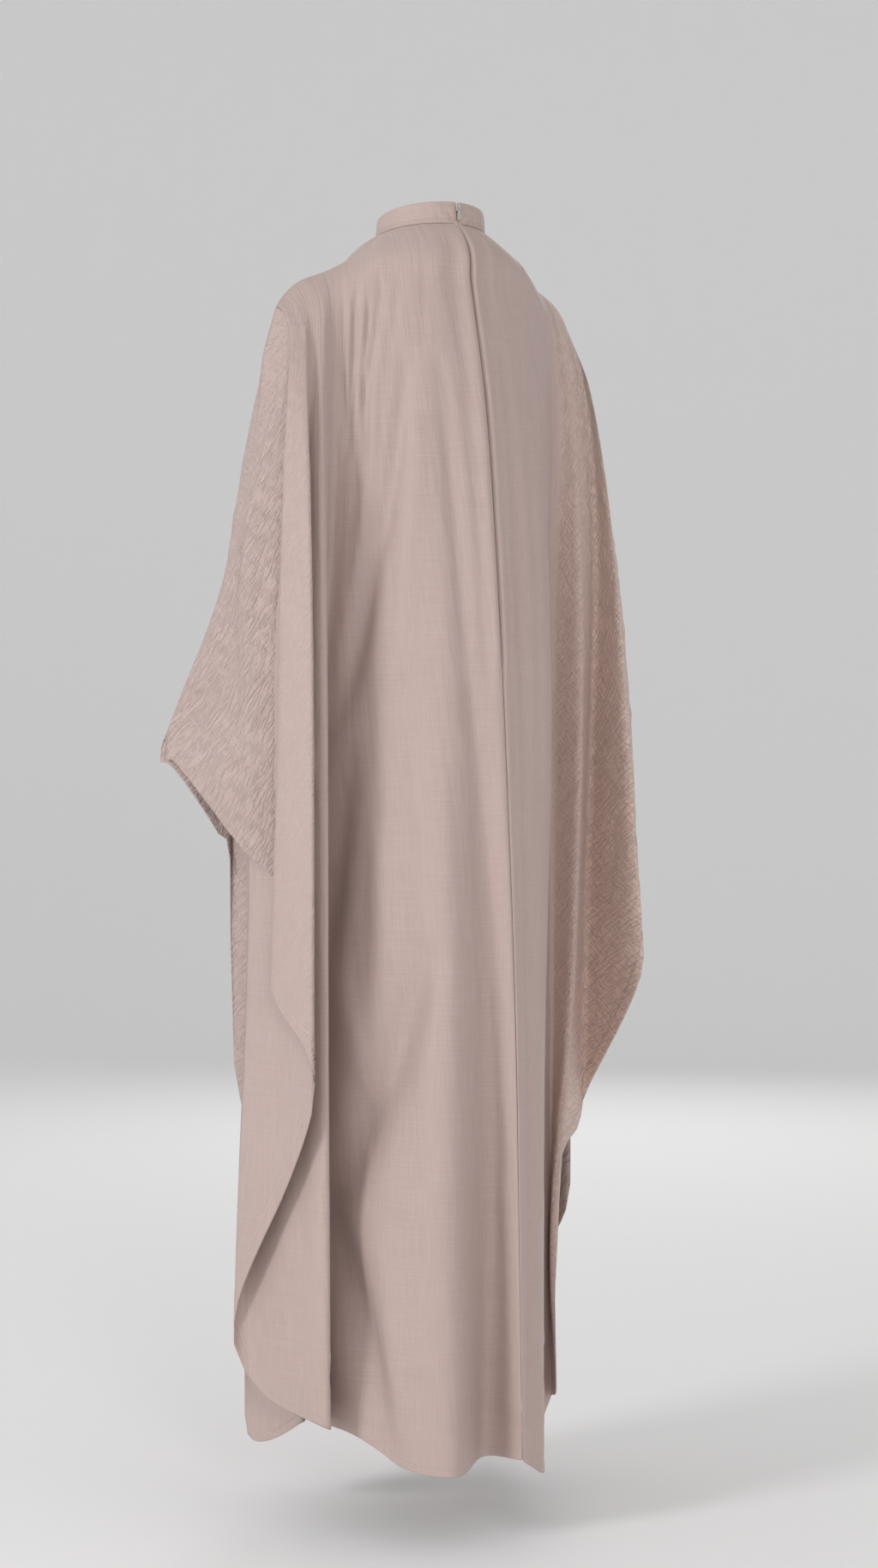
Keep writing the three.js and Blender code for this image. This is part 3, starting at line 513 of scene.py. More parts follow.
def press_folds(panel, folds, creases, facing):
    """Moves a hung panel's points out and in by its folds and its strewn creases."""
    relief = sum(soft_line(panel, *fold) for fold in folds)
    fine = sum(strewn_creases(panel, *crease) for crease in creases)
    # the turned hem is stiffer, so the small creases fade towards it
    relief = relief + fine * np.clip(panel["edge"] / (3 * HEM_TURN), 0.25, 1.0)
    # the sleeve seam and neck edge stay where they are sewn
    relief = relief * np.clip((panel["height"][:, :1] - panel["height"]) / 55, 0.0, 1.0)
    panel["points"] = panel["points"] + outward(panel["points"], facing) * relief[:, :, None]


def bias_share(panel, steps):
    """How far the cloth hangs on the bias, from (cloth line, share) steps."""
    return np.interp(panel["line"], [line for line, share in steps], [share for line, share in steps])


def back_edge(panel):
    """Rolls the centre back edge inwards and raises the cloth beside it, more along the zip than below it."""
    across, height = panel["across"], panel["height"]
    along_zip = np.clip((height - ZIP_END + 14) / 28, 0, 1)
    roll = (1.5 + 1.5 * along_zip) * np.exp(-(across / 1.6) ** 2)
    raised = (1.2 + 1.6 * along_zip) * np.exp(-((across - 6.5) / 5.5) ** 2)
    hollow = (1.2 + 1.0 * along_zip) * np.exp(-((across - 21) / 9.0) ** 2)
    share = np.clip((height[:, :1] - height) / 30, 0.25, 1.0)
    panel["points"][:, :, 1] += (raised - roll - hollow) * share
    panel["points"][0, :, 0] = SEAM_HALF_GAP


def sew_panel(name, sheets, material, nodes):
    """One mesh from side-by-side grids of points, with its cloth map, bias and hem values, and thickness."""
    joined = {key: np.concatenate([sheet[key][1 if k else 0:] for k, sheet in enumerate(sheets)])
              for key in ("points", "edge", "bias", "map_u", "height")}
    points = joined["points"] * MM
    points[:, :, 2] -= SHOULDER_HEIGHT * MM
    columns, rows = joined["edge"].shape
    bm = bmesh.new()
    cloth_map = bm.loops.layers.uv.new("cloth")
    bias_layer = bm.verts.layers.float.new("bias")
    hem_layer = bm.verts.layers.float.new("hem")
    weight = bm.verts.layers.deform.verify()
    bmesh.ops.create_grid(bm, x_segments=columns - 1, y_segments=rows - 1, size=0.5)
    place = {vert: (round((vert.co.x + 0.5) * (columns - 1)), round((0.5 - vert.co.y) * (rows - 1)))
             for vert in bm.verts}
    for vert, (i, j) in place.items():
        vert[bias_layer] = float(joined["bias"][i, j])
        vert[hem_layer] = float(joined["edge"][i, j])
        vert[weight][0] = 1.0 if joined["edge"][i, j] <= HEM_TURN * 1.001 else 0.0
        vert.co = points[i, j]
    for face in bm.faces:
        face.smooth = True
        for loop in face.loops:
            i, j = place[loop.vert]
            loop[cloth_map].uv = (joined["map_u"][i, j] * MM, joined["height"][i, j] * MM)
    bmesh.ops.recalc_face_normals(bm, faces=bm.faces)
    piece = finish_mesh(name, bm, material)
    piece.vertex_groups.new(name="turned_hem")
    wall = piece.modifiers.new("cloth", "SOLIDIFY")
    wall.thickness = HEM_THICKNESS
    wall.offset = 0
    wall.vertex_group = "turned_hem"
    wall.thickness_vertex_group = CLOTH_SHARE
    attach(piece, "garment")
    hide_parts(*nodes)


BACK_LEFT = [
    ("centre back", 0, 10,
     (0, 93), (0, 128), (0, 151), (0, 169), (0, 190), (0, 199), (0, 205)),
    ("pleat valley", 33, 5,
     (37, 89), (39, 124), (36, 146), (32, 160), (28, 168), (22, 160), (20, 152)),
    ("pleat ridge", 66, 0,
     (70, 77), (77, 109), (76, 130), (75, 151), (76, 176), (80, 190), (82, 200)),
    ("back flank", 104, 6,
     (101, 60), (110, 86), (112, 93), (114, 106), (118, 128), (123, 146), (126, 150)),
    ("side", 144, 32,
     (124, 46), (139, 66), (139, 56), (142, 54), (146, 68), (149, 84), (150, 90)),
    ("side valley", 184, 34,
     (142, 35), (157, 56), (156, 38), (158, 14), (160, 8), (162, 7), (164, 7)),
    ("inner ridge", 206, 46,
     (155, 31), (179, 73), (189, 94), (190, 100), (190, 102), (189, 104), (188, 105)),
    ("outer fold, inside", 222, 72,
     (164, 26), (190, 64), (208, 44), (222, 10), (219, -12), (222, -6), (220, -2)),
    ("outer fold, outside", 234, 166,
     (169, 23), (195, 66), (215, 46), (230, 12), (228, -10), (242, -13), (250, -10)),
    ("outer ridge", 250, 415,
     (176, 20), (201, 77), (206, 99), (210, 110), (213, 117), (213, 117), (213, 117)),
    ("sleeve fold, inside", 266, 528,
     (183, 15), (217, 63), (226, 66), (233, 70), (238, 61), (238, 61), (238, 61)),
    ("sleeve fold, outside", 282, 632,
     (188, 11), (207, 52), (212, 53), (218, 54), (221, 50), (221, 50), (221, 50)),
    ("upper sleeve", 412, 682,
     (198, 0), (223, 12), (241, 8), (248, 12), (250, 14), (250, 14), (250, 14)),
    ("lower sleeve", 572, 727,
     (206, -4), (226, -8), (248, -20), (263, -32), (267, -36), (267, -36), (267, -36)),
    ("cuff", 697, 778,
     (212, -6), (232, -18), (260, -44), (284, -84), (286, -88), (286, -88), (286, -88)),
    ("sleeve tip", 786, 782,
     (214, -8), (234, -22), (266, -58), (291, -101), (291, -102), (291, -102), (291, -102)),
]
# start and end as cloth line and height, then width and depth: above 0 is a ridge, below 0 a trough
BACK_LEFT_FOLDS = [
    ((0.30, 1300), (0.32, 900), 6.0, 1.6),
    ((0.34, 900), (0.36, 40), 7.0, 1.2),
    ((1.30, 1225), (1.12, 820), 12.0, -6.4),
    ((1.02, 860), (0.70, 330), 12.0, -6.6),
    ((0.70, 380), (0.72, 14), 12.0, -4.2),
    ((2.25, 1235), (3.05, 1030), 12.0, -6.5),
    ((3.00, 1060), (4.15, 830), 14.0, -10.0),
    ((2.10, 1150), (2.75, 880), 16.0, 4.5),
    ((3.30, 1160), (3.75, 980), 9.0, 4.0),
    ((3.95, 790), (4.65, 560), 17.0, -12.0),
    ((2.45, 560), (4.20, 300), 21.0, -19.0),
    ((4.05, 540), (3.55, 400), 14.0, 6.0),
    ((4.50, 282), (3.25, 10), 17.0, -16.0),
    ((2.20, 760), (2.35, 120), 22.0, 6.5),
    ((3.20, 700), (3.10, 560), 14.0, 3.5),
    ((3.30, 230), (2.90, 30), 12.0, 3.5),
    ((4.40, 190), (4.30, 50), 9.0, 3.0),
    ((4.55, 1318), (4.35, 1160), 5.0, -3.6),
    ((3.95, 1312), (4.10, 1130), 6.5, -5.0),
    ((3.35, 1300), (3.70, 1215), 5.0, -3.2),
    ((3.65, 1225), (3.40, 1090), 5.5, -3.4),
    ((2.95, 1318), (3.55, 1180), 7.0, -4.4),
    ((4.25, 1300), (4.22, 1180), 5.0, 2.6),
    ((3.62, 1300), (3.86, 1150), 5.5, 3.0),
    ((3.15, 1250), (3.35, 1120), 6.0, 2.4),
    ((2.35, 1320), (2.85, 1225), 7.0, -1.8),
    ((1.55, 1335), (1.80, 1240), 6.0, -1.2),
    ((5.20, 1150), (5.35, 760), 9.0, -2.4),
    ((8.60, 1260), (8.75, 1120), 7.0, -2.6),
    ((10.30, 1230), (10.45, 800), 9.0, 2.2),
    ((11.30, 1080), (11.10, 720), 10.0, -2.6),
    ((12.10, 1090), (11.75, 850), 9.0, 2.4),
    ((12.70, 1010), (12.10, 760), 9.0, -2.8),
    ((13.40, 930), (12.75, 745), 9.0, 2.6),
    ((14.00, 880), (13.35, 765), 8.0, -2.2),
    ((12.95, 880), (12.45, 712), 8.0, 2.2),
    ((11.95, 800), (11.55, 670), 8.0, 2.0),
    ((8.40, 640), (8.50, 260), 9.0, 1.8),
    ((6.40, 560), (6.45, 120), 8.0, -1.6),
]
# seed, count, lean, spread of the lean, length, depth, from and to which cloth line, lowest and highest place
BACK_LEFT_CREASES = [
    (11, 130, 60, 12, 120, 1.25, 10.4, 14.7, 640, 1190),
    (12, 150, 62, 16, 60, 0.85, 10.2, 14.7, 640, 1150),
    (13, 110, -8, 14, 42, 1.15, 0.1, 6.0, 10, 150),
    (14, 60, 78, 12, 110, 0.6, 6.0, 9.5, 100, 1000),
    (15, 70, 86, 8, 150, 0.40, 0.6, 4.6, 150, 1150),
    (16, 26, 40, 15, 60, 0.7, 3.0, 5.4, 1080, 1300),
]
back_left = hang_panel(BACK_LEFT, LEFT_SEAM, 1, BACK_COLUMNS)
back_left["bias"] = bias_share(back_left, [(8.6, 0), (9.1, 0.34), (10.6, 0.34), (11.1, 1)])
back_left["map_u"] = back_left["across"]
press_folds(back_left, BACK_LEFT_FOLDS, BACK_LEFT_CREASES, 1)
back_edge(back_left)
sew_panel("back_panel_left", [back_left], linen, ["back_left"])


# Back panel on the wearer's right, cut as the left one and joined to it at the zip and the centre back seam.
# Its wing hangs in more and narrower layers, because the right arm is held further out.
BACK_RIGHT_MAP_START = 2000          # the panels' cloth maps lie apart, so that their threads differ
BACK_RIGHT = [
    ("centre back", 0, 10,
     (0, 93), (0, 128), (0, 151), (0, 169), (0, 190), (0, 199), (0, 205)),
    ("seam hollow", 33, -4,
     (35, 89), (38, 122), (38, 143), (37, 157), (30, 172), (26, 178), (24, 180)),
    ("back pleat", 66, -20,
     (68, 77), (74, 104), (75, 126), (72, 141), (62, 152), (56, 158), (54, 162)),
    ("back flank", 104, -22,
     (98, 60), (104, 78), (108, 87), (107, 94), (100, 92), (96, 88), (98, 86)),
    ("side", 144, -4,
     (122, 46), (132, 52), (134, 42), (136, 40), (132, 39), (129, 36), (129, 35)),
    ("side valley", 186, 24,
     (142, 35), (149, 44), (152, 32), (155, 20), (157, 16), (158, 12), (160, 9)),
    ("inner ridge, inside", 206, 50,
     (152, 31), (164, 50), (168, 56), (168, 56), (160, 48), (144, 34), (151, 41)),
    ("inner ridge, outside", 218, 200,
     (158, 28), (170, 50), (176, 56), (175, 56), (166, 50), (151, 38), (151, 38)),
    ("inner layer", 230, 310,
     (165, 25), (177, 52), (187, 51), (187, 44), (179, 34), (163, 16), (163, 16)),
    ("outer fold, inside", 242, 346,
     (171, 22), (183, 53), (197, 45), (203, 26), (206, 6), (204, 0), (204, 0)),
    ("outer fold, outside", 254, 388,
     (176, 19), (187, 56), (203, 50), (209, 31), (214, 10), (212, 6), (212, 6)),
    ("outer ridge", 270, 536,
     (181, 15), (191, 62), (203, 84), (208, 102), (218, 119), (218, 119), (218, 119)),
    ("sleeve fold, inside", 286, 598,
     (186, 10), (201, 44), (226, 52), (238, 60), (246, 62), (246, 62), (246, 62)),
    ("sleeve fold, outside", 302, 624,
     (190, 6), (206, 34), (234, 42), (248, 48), (256, 50), (256, 50), (256, 50)),
    ("upper sleeve", 430, 652,
     (200, -4), (215, 2), (247, 12), (268, 18), (274, 20), (274, 20), (274, 20)),
    ("lower sleeve", 588, 688,
     (208, -12), (234, -14), (263, -20), (290, -14), (298, -14), (298, -14), (298, -14)),
    ("cuff", 724, 708,
     (212, -14), (238, -24), (272, -34), (311, -42), (318, -44), (318, -44), (318, -44)),
    ("sleeve tip", 828, 714,
     (214, -16), (240, -26), (278, -40), (320, -54), (328, -56), (328, -56), (328, -56)),
]
BACK_RIGHT_FOLDS = [
    ((0.52, 1290), (0.50, 860), 4.5, 2.6),
    ((0.50, 900), (0.54, 40), 5.0, 2.2),
    ((0.86, 1240), (0.84, 640), 6.5, -4.2),
    ((0.84, 690), (0.80, 30), 7.0, -4.2),
    ((1.25, 1200), (1.20, 760), 8.0, 2.4),
    ((1.62, 1230), (1.55, 700), 8.0, -2.4),
    ((1.95, 1200), (1.80, 760), 8.0, 2.6),
    ((1.45, 720), (1.40, 60), 10.0, 2.4),
    ((2.35, 1260), (2.10, 900), 10.0, -2.2),
    ((3.10, 1200), (2.60, 1010), 9.0, -3.0),
    ((4.30, 1240), (4.50, 900), 8.0, -2.6),
    ((2.40, 860), (2.30, 300), 12.0, -2.4),
    ((11.60, 1010), (11.90, 690), 9.0, 2.2),
    ((12.20, 1120), (12.60, 780), 9.0, -2.4),
    ((13.00, 1080), (13.40, 760), 9.0, 2.4),
    ((13.80, 1060), (14.30, 820), 9.0, -2.4),
    ((14.60, 1000), (15.10, 800), 8.0, 2.0),
    ((10.90, 760), (10.60, 520), 9.0, 2.0),
]
BACK_RIGHT_CREASES = [
    (21, 110, 50, 9, 95, 1.05, 10.6, 16.6, 560, 1150),
    (22, 110, -50, 9, 95, 0.95, 10.6, 16.6, 560, 1150),
    (23, 80, -10, 14, 42, 1.1, 0.1, 6.0, -10, 130),
    (24, 70, -35, 12, 70, 0.8, 5.2, 9.0, 300, 1050),
    (25, 60, 87, 8, 150, 0.40, 0.6, 4.6, 150, 1150),
]
# the right sleeve's bias cloth gets a strong painted glow, paler and warmer, as if light came through it
linen_right = make_linen("linen_right_sleeve", -40, 82, 0.30, 0.9)
back_right = hang_panel(BACK_RIGHT, RIGHT_SEAM, 1, BACK_COLUMNS)
back_right["bias"] = bias_share(back_right, [(4.9, 0), (5.3, 0.5), (7.0, 0.5), (9.0, 1)])
back_right["map_u"] = back_right["across"] + BACK_RIGHT_MAP_START
press_folds(back_right, BACK_RIGHT_FOLDS, BACK_RIGHT_CREASES, 1)
back_edge(back_right)
back_right["points"][:, :, 0] *= -1
sew_panel("back_panel_right", [back_right], linen_right, ["back_right"])


# Front panel, one piece of linen from sleeve tip to sleeve tip, joined to the back panels along the shoulders
# and the tops of the sleeves. It is hidden from behind, so its folds are plain soft ones as at the back.
FRONT_LEFT = [
    ("centre front", 0, 16,
     (0, -80), (0, -110), (0, -112), (0, -118), (0, -128), (0, -134), (0, -138)),
    ("front hollow", 42, 12,
     (46, -75), (50, -108), (48, -106), (42, -106), (40, -106), (38, -104), (38, -102)),
    ("front pleat", 76, 12,
     (78, -62), (90, -98), (92, -100), (92, -108), (94, -122), (96, -132), (98, -138)),
    ("front flank", 120, 22,
     (108, -44), (122, -72), (126, -64), (132, -58), (136, -62), (140, -66), (142, -68)),
    ("side valley", 184, 28,
     (142, -30), (152, -50), (155, -24), (158, -10), (160, -8), (162, -7), (164, -7)),
    ("inner ridge, inside", 214, 4,
     (157, -26), (172, -58), (180, -70), (184, -74), (180, -70), (172, -66), (195, -87)),
    ("inner ridge, outside", 226, 186,
     (162, -24), (178, -58), (186, -72), (190, -78), (190, -78), (196, -88), (204, -98)),
    ("inner fold", 244, 250,
     (172, -18), (190, -50), (200, -52), (204, -32), (202, -14), (200, -12), (200, -12)),
    ("outer ridge, inside", 262, 438,
     (180, -15), (200, -46), (212, -64), (216, -76), (217, -76), (217, -76), (217, -76)),
    ("outer ridge, outside", 280, 664,
     (186, -12), (206, -42), (218, -60), (221, -74), (222, -76), (222, -76), (222, -76)),
    ("sleeve front", 400, 700,
     (198, -8), (218, -32), (232, -56), (236, -78), (236, -80), (236, -80), (236, -80)),
    ("lower sleeve", 572, 744,
     (206, -8), (226, -24), (246, -46), (263, -84), (264, -86), (264, -86), (264, -86)),
    ("cuff", 697, 776,
     (212, -8), (232, -26), (258, -50), (283, -100), (284, -102), (284, -102), (284, -102)),
    ("sleeve tip", 786, 780,
     (214, -8), (234, -22), (266, -62), (292, -111), (292, -112), (292, -112), (292, -112)),
]
FRONT_RIGHT = [
    ("centre front", 0, 16,
     (0, -80), (0, -110), (0, -112), (0, -118), (0, -128), (0, -134), (0, -138)),
    ("front hollow", 42, 8,
     (46, -75), (50, -108), (50, -108), (48, -108), (46, -110), (44, -108), (44, -106)),
    ("front pleat", 76, 6,
     (78, -62), (90, -98), (93, -100), (96, -108), (100, -120), (102, -128), (104, -134)),
    ("front flank", 120, 14,
     (108, -44), (122, -72), (126, -64), (132, -58), (136, -62), (140, -66), (142, -68)),
    ("side valley", 186, 22,
     (142, -32), (150, -50), (152, -24), (156, -10), (158, -8), (158, -7), (160, -7)),
    ("inner ridge, inside", 214, 34,
     (156, -28), (172, -58), (180, -72), (184, -78), (184, -80), (186, -84), (186, -84)),
    ("inner ridge, outside", 228, 150,
     (161, -26), (178, -60), (188, -76), (192, -84), (194, -88), (196, -94), (196, -94)),
    ("inner fold", 250, 262,
     (172, -20), (194, -54), (206, -56), (208, -36), (202, -14), (200, -12), (200, -12)),
    ("outer ridge, inside", 270, 452,
     (178, -16), (199, -52), (222, -70), (228, -80), (228, -80), (228, -80), (228, -80)),
    ("outer ridge, outside", 288, 560,
     (184, -14), (204, -48), (230, -68), (238, -78), (240, -80), (240, -80), (240, -80)),
    ("sleeve front", 430, 606,
     (198, -14), (214, -38), (250, -60), (264, -78), (268, -82), (268, -82), (268, -82)),
    ("lower sleeve", 588, 664,
     (208, -14), (234, -34), (264, -52), (290, -74), (296, -76), (296, -76), (296, -76)),
    ("cuff", 724, 702,
     (212, -14), (238, -30), (272, -44), (311, -66), (318, -68), (318, -68), (318, -68)),
    ("sleeve tip", 828, 712,
     (214, -16), (240, -28), (278, -44), (320, -66), (328, -68), (328, -68), (328, -68)),
]
FRONT_FOLDS = [
    ((0.35, 1150), (0.42, 500), 16.0, -3.0),
    ((0.45, 520), (0.40, 30), 16.0, -3.4),
    ((1.50, 1190), (1.40, 700), 14.0, 3.0),
    ((1.45, 700), (1.55, 60), 14.0, 2.6),
    ((2.60, 1180), (3.00, 880), 12.0, -3.6),
    ((3.10, 820), (2.80, 420), 13.0, -4.2),
    ((2.70, 420), (3.10, 60), 12.0, -3.4),
    ((3.70, 1260), (2.70, 1180), 7.0, -2.2),
    ((3.70, 1225), (2.40, 1110), 7.0, -2.4),
    ((0.60, 1270), (1.60, 1180), 9.0, -1.6),
    ((9.30, 1090), (9.60, 730), 9.0, 2.4),
    ((10.30, 1040), (10.10, 730), 9.0, -2.6),
    ((11.10, 960), (10.80, 760), 9.0, 2.4),
    ((11.80, 900), (11.40, 780), 8.0, -2.0),
    ((6.50, 600), (6.55, 240), 8.0, 1.8),
]
# as at the back, but the seeds count on from each half's own
FRONT_CREASES = [
    (0, 150, 58, 12, 90, 1.0, 8.4, 12.8, 620, 1150),
    (1, 80, -8, 14, 42, 0.75, 0.1, 5.0, 10, 130),
    (2, 70, 86, 9, 150, 0.45, 0.3, 4.4, 150, 1180),
]
FRONT_MAP_START = 5000
front_halves = []
# the right half is mirrored, and its folds start a little further out and are narrower
for table, seam, seed, way, fold_shift, fold_share in ((FRONT_RIGHT, RIGHT_SEAM, 41, -1, 0.12, 0.9),
                                                       (FRONT_LEFT, LEFT_SEAM, 31, 1, 0.0, 1.0)):
    half = hang_panel(table, seam, -1, FRONT_COLUMNS)
    half["bias"] = bias_share(half, [(5.2, 0), (6.6, 1)])
    half["map_u"] = half["across"] * way + FRONT_MAP_START
    folds = [((u + fold_shift, z), end, width * fold_share, depth)
             for (u, z), end, width, depth in FRONT_FOLDS]
    creases = [(seed + first, *rest) for first, *rest in FRONT_CREASES]
    press_folds(half, folds, creases, -1)
    half["points"][:, :, 0] *= way
    front_halves.append(half)
right_half, left_half = front_halves
for key in right_half:
    right_half[key] = right_half[key][::-1]
middle = (right_half["points"][-1] + left_half["points"][0]) / 2
middle[:, 0] = 0
right_half["points"][-1] = middle
left_half["points"][0] = middle
sew_panel("front_panel", front_halves, linen, ["front"])


# Stand collar. Two halves of a folded linen band, open at the centre back for the zip, topstitched just above
# the seam that joins it to the neck, with short slanting wrinkles where the zip stiffens its ends.
COLLAR_HEIGHT, COLLAR_BACK_RISE, COLLAR_WALL, COLLAR_LEAN, COLLAR_BULGE = 22, 3, 2.0, 1.5, 0.35
COLLAR_ZIP_GAP, COLLAR_FRONT_GAP, COLLAR_SEAT = 3.0, 0.6, 0.3
COLLAR_STEPS, COLLAR_ROWS = 150, 22
COLLAR_LENGTH = 0.2                  # metres, as in its flat size
COLLAR_MAP_START = 9                 # metres: the band's place on the cloth, away from the panels'
FOLD_SOFTNESS = 0.0006
TOPSTITCH_HEIGHT, TOPSTITCH_DENT = 3.6, 0.4
TOPSTITCH_START, ZIP_STITCH_PLACE = 0.05, 0.082   # radians round from the end of the band
ZIP_STITCHES, ZIP_STITCH_PITCH = 7, 2.7
STITCH_LENGTH, STITCH_GAP, THREAD = 2.3, 0.8, 0.42
# angle from the centre back in degrees, height up the band as a share, lean, length and depth in millimetres
COLLAR_WRINKLES = [
    (9, 0.45, 58, 15, -0.50),
    (15, 0.55, 52, 16, -0.45),
    (22, 0.40, 60, 14, -0.35),
    (31, 0.60, 48, 15, -0.30),
    (12, 0.25, 64, 11, 0.35),
    (19, 0.72, 50, 12, 0.30),
    (27, 0.30, 55, 12, 0.28),
    (44, 0.50, 62, 14, -0.25),
    (63, 0.45, 70, 12, -0.22),
    (84, 0.55, 66, 13, 0.22),
    (108, 0.45, 72, 12, -0.20),
    (140, 0.50, 68, 12, 0.20),
]
WRINKLE_WIDTH, WRINKLE_STRENGTH = 2.2, 1.7


def collar_point(angle, share):
    """Middle of the band at an angle from the centre back, share 0 at the neck seam and 1 at the top."""
    foot = NECK_HEIGHT + NECK_RISE * math.cos(angle) + COLLAR_SEAT
    lean = COLLAR_LEAN * share
    height = COLLAR_HEIGHT + COLLAR_BACK_RISE * math.cos(angle)
    bulge = COLLAR_BULGE * math.sin(math.pi * share)
    return np.array([(NECK_HALF_WIDTH - lean + bulge) * math.sin(angle),
                     (NECK_HALF_DEPTH - lean + bulge) * math.cos(angle), foot + height * share])


def collar_relief(angle, share):
    """How far the band stands out there, with its wrinkles, the topstitching's dent and the folded top."""
    relief = 0.0
    for at, up, lean, length, depth in COLLAR_WRINKLES:
        x = (angle - math.radians(at)) * NECK_HALF_WIDTH
        z = (share - up) * COLLAR_HEIGHT
        tilt = math.radians(lean)
        along = (x * math.cos(tilt) + z * math.sin(tilt)) / (length / 2)
        off = (-x * math.sin(tilt) + z * math.cos(tilt)) / WRINKLE_WIDTH
        relief += WRINKLE_STRENGTH * depth * math.exp(-off * off) * math.exp(-along * along * 1.5)
    topstitch = math.exp(-((share * COLLAR_HEIGHT - TOPSTITCH_HEIGHT) / 0.8) ** 2)
    fold_over = max(0.0, share - 0.93) * 6
    return relief - TOPSTITCH_DENT * topstitch - fold_over


def collar_out(angle):
    return np.array([math.sin(angle), math.cos(angle), 0.0])


def sew_stitch(bm, angle, up, side, way):
    """Adds one flat stitch, narrower outwards, on the band's outer face and along its way; side is 1 or -1."""
    out = collar_out(angle)
    point = collar_point(angle, up) + out * (collar_relief(angle, up) + COLLAR_WALL / 2 + 0.05)
    place = Vector((side * point[0], point[1], point[2] - SHOULDER_HEIGHT)) * MM
    out = Vector((side * out[0], out[1], 0))
    across = out.cross(way)
    for vert in bmesh.ops.create_cube(bm, size=1.0)["verts"]:
        pinch = 0.72 if vert.co.z > 0 else 1.0
        vert.co = (place + way * (vert.co.x * STITCH_LENGTH * MM * pinch)
                   + across * (vert.co.y * THREAD * MM * pinch) + out * (vert.co.z * THREAD * MM * 0.8))


collar_start = COLLAR_ZIP_GAP / NECK_HALF_WIDTH / 2
collar_end = math.pi - COLLAR_FRONT_GAP / NECK_HALF_WIDTH / 2
stitches = bmesh.new()
for name, side, node in (("collar_band_left", 1, "collar_left"), ("collar_band_right", -1, "collar_right")):
    bm = bmesh.new()
    cloth_map = bm.loops.layers.uv.new("cloth")
    bias_layer = bm.verts.layers.float.new("bias")
    hem_layer = bm.verts.layers.float.new("hem")
    bmesh.ops.create_grid(bm, x_segments=COLLAR_STEPS, y_segments=COLLAR_ROWS, size=0.5)
    shares = {vert: (vert.co.x + 0.5, vert.co.y + 0.5) for vert in bm.verts}
    for vert, (round_share, up) in shares.items():
        # the columns are closer together beside the zip
        angle = collar_start + (collar_end - collar_start) * round_share ** 1.15
        point = collar_point(angle, up) + collar_out(angle) * collar_relief(angle, up)
        vert.co = (side * point[0] * MM, point[1] * MM, (point[2] - SHOULDER_HEIGHT) * MM)
        vert[bias_layer] = 0.0
        # the linen's stitch row, and the shade painted into its dent, fall on the topstitching
        vert[hem_layer] = (up * COLLAR_HEIGHT - TOPSTITCH_HEIGHT) * MM + STITCH_LINE
    for face in bm.faces:
        face.smooth = True
        for loop in face.loops:
            round_share, up = shares[loop.vert]
            loop[cloth_map].uv = (up * COLLAR_HEIGHT * MM + COLLAR_MAP_START, round_share * COLLAR_LENGTH)
    bmesh.ops.recalc_face_normals(bm, faces=bm.faces)
    band = finish_mesh(name, bm, linen)
    wall = band.modifiers.new("band", "SOLIDIFY")
    wall.thickness = COLLAR_WALL * MM
    wall.offset = 0
    softened = band.modifiers.new("folded_edge", "BEVEL")
    softened.width = FOLD_SOFTNESS
    softened.segments = 2
    softened.limit_method = "ANGLE"
    softened.angle_limit = math.radians(60)
    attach(band, "garment")
    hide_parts(node)

    # topstitching just above the neck seam, then up beside the zip
    angle = collar_start + TOPSTITCH_START
    while angle < collar_end - 0.01:
        way = Vector((side * math.cos(angle), -math.sin(angle), 0))
        sew_stitch(stitches, angle, TOPSTITCH_HEIGHT / COLLAR_HEIGHT, side, way)
        angle += (STITCH_LENGTH + STITCH_GAP) / NECK_HALF_WIDTH
    for k in range(ZIP_STITCHES):
        up = (TOPSTITCH_HEIGHT + 1.2 + ZIP_STITCH_PITCH * k) / COLLAR_HEIGHT
        sew_stitch(stitches, collar_start + ZIP_STITCH_PLACE, up, side, Vector((0, 0, 1)))


def grain_noise(tree, scale, detail=2.0):
    """Fine even noise in the piece's own place."""
    grain = node_of(tree, "ShaderNodeTexNoise")
    set_inputs(grain, {"Scale": scale, "Detail": detail})
    wire(tree, node_of(tree, "ShaderNodeTexCoord").outputs["Object"], grain.inputs["Vector"])
    return grain.outputs["Fac"]


# Sewing thread of the collar, and the tape of the zip: matt beige polyester, a shade paler than the linen.
THREAD_BEIGE, THREAD_SHADE = (0.64, 0.51, 0.45), 0.82
thread_beige, tree, surface = new_material("thread_beige")
grain = grain_noise(tree, 4200)
shaded = tuple(c * THREAD_SHADE for c in THREAD_BEIGE)
wire(tree, blend_colours(tree, grain, shaded, THREAD_BEIGE), surface.inputs["Base Color"])
wire(tree, bumped(tree, grain, 0.4, 0.0001), surface.inputs["Normal"])
set_inputs(surface, {"Roughness": 0.7})
bmesh.ops.recalc_face_normals(stitches, faces=stitches.faces)
topstitching = finish_mesh("collar_topstitching", stitches, thread_beige)
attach(topstitching, "garment")


# Concealed zip. A narrow woven tape behind the centre back opening, with a moulded nylon coil down its middle
# from the top of the collar to the middle of the back, and a small bottom stop.
ZIP_TOP = 1418
TAPE_WIDTH, TAPE_WALL, TAPE_BOW, TAPE_BEHIND, TAPE_BELOW = 9.0, 0.6, 0.5, 0.9, 8
COIL_PITCH, COIL_WIDTH, COIL_DEPTH, COIL_OFFSET, COIL_BEHIND = 1.6, 2.6, 1.1, 0.35, 0.25
STOP_WIDTH, STOP_DEPTH, STOP_HEIGHT, STOP_BELOW = 3.2, 1.5, 4.0, 3.0
ZIP_STEPS = 90
NYLON_BEIGE, NYLON_SHADE = (0.50, 0.40, 0.345), 0.88
tape_foot = ZIP_END - TAPE_BELOW
seam_heights = back_left["height"][0][::-1]
seam_depths = back_left["points"][0, :, 1][::-1]
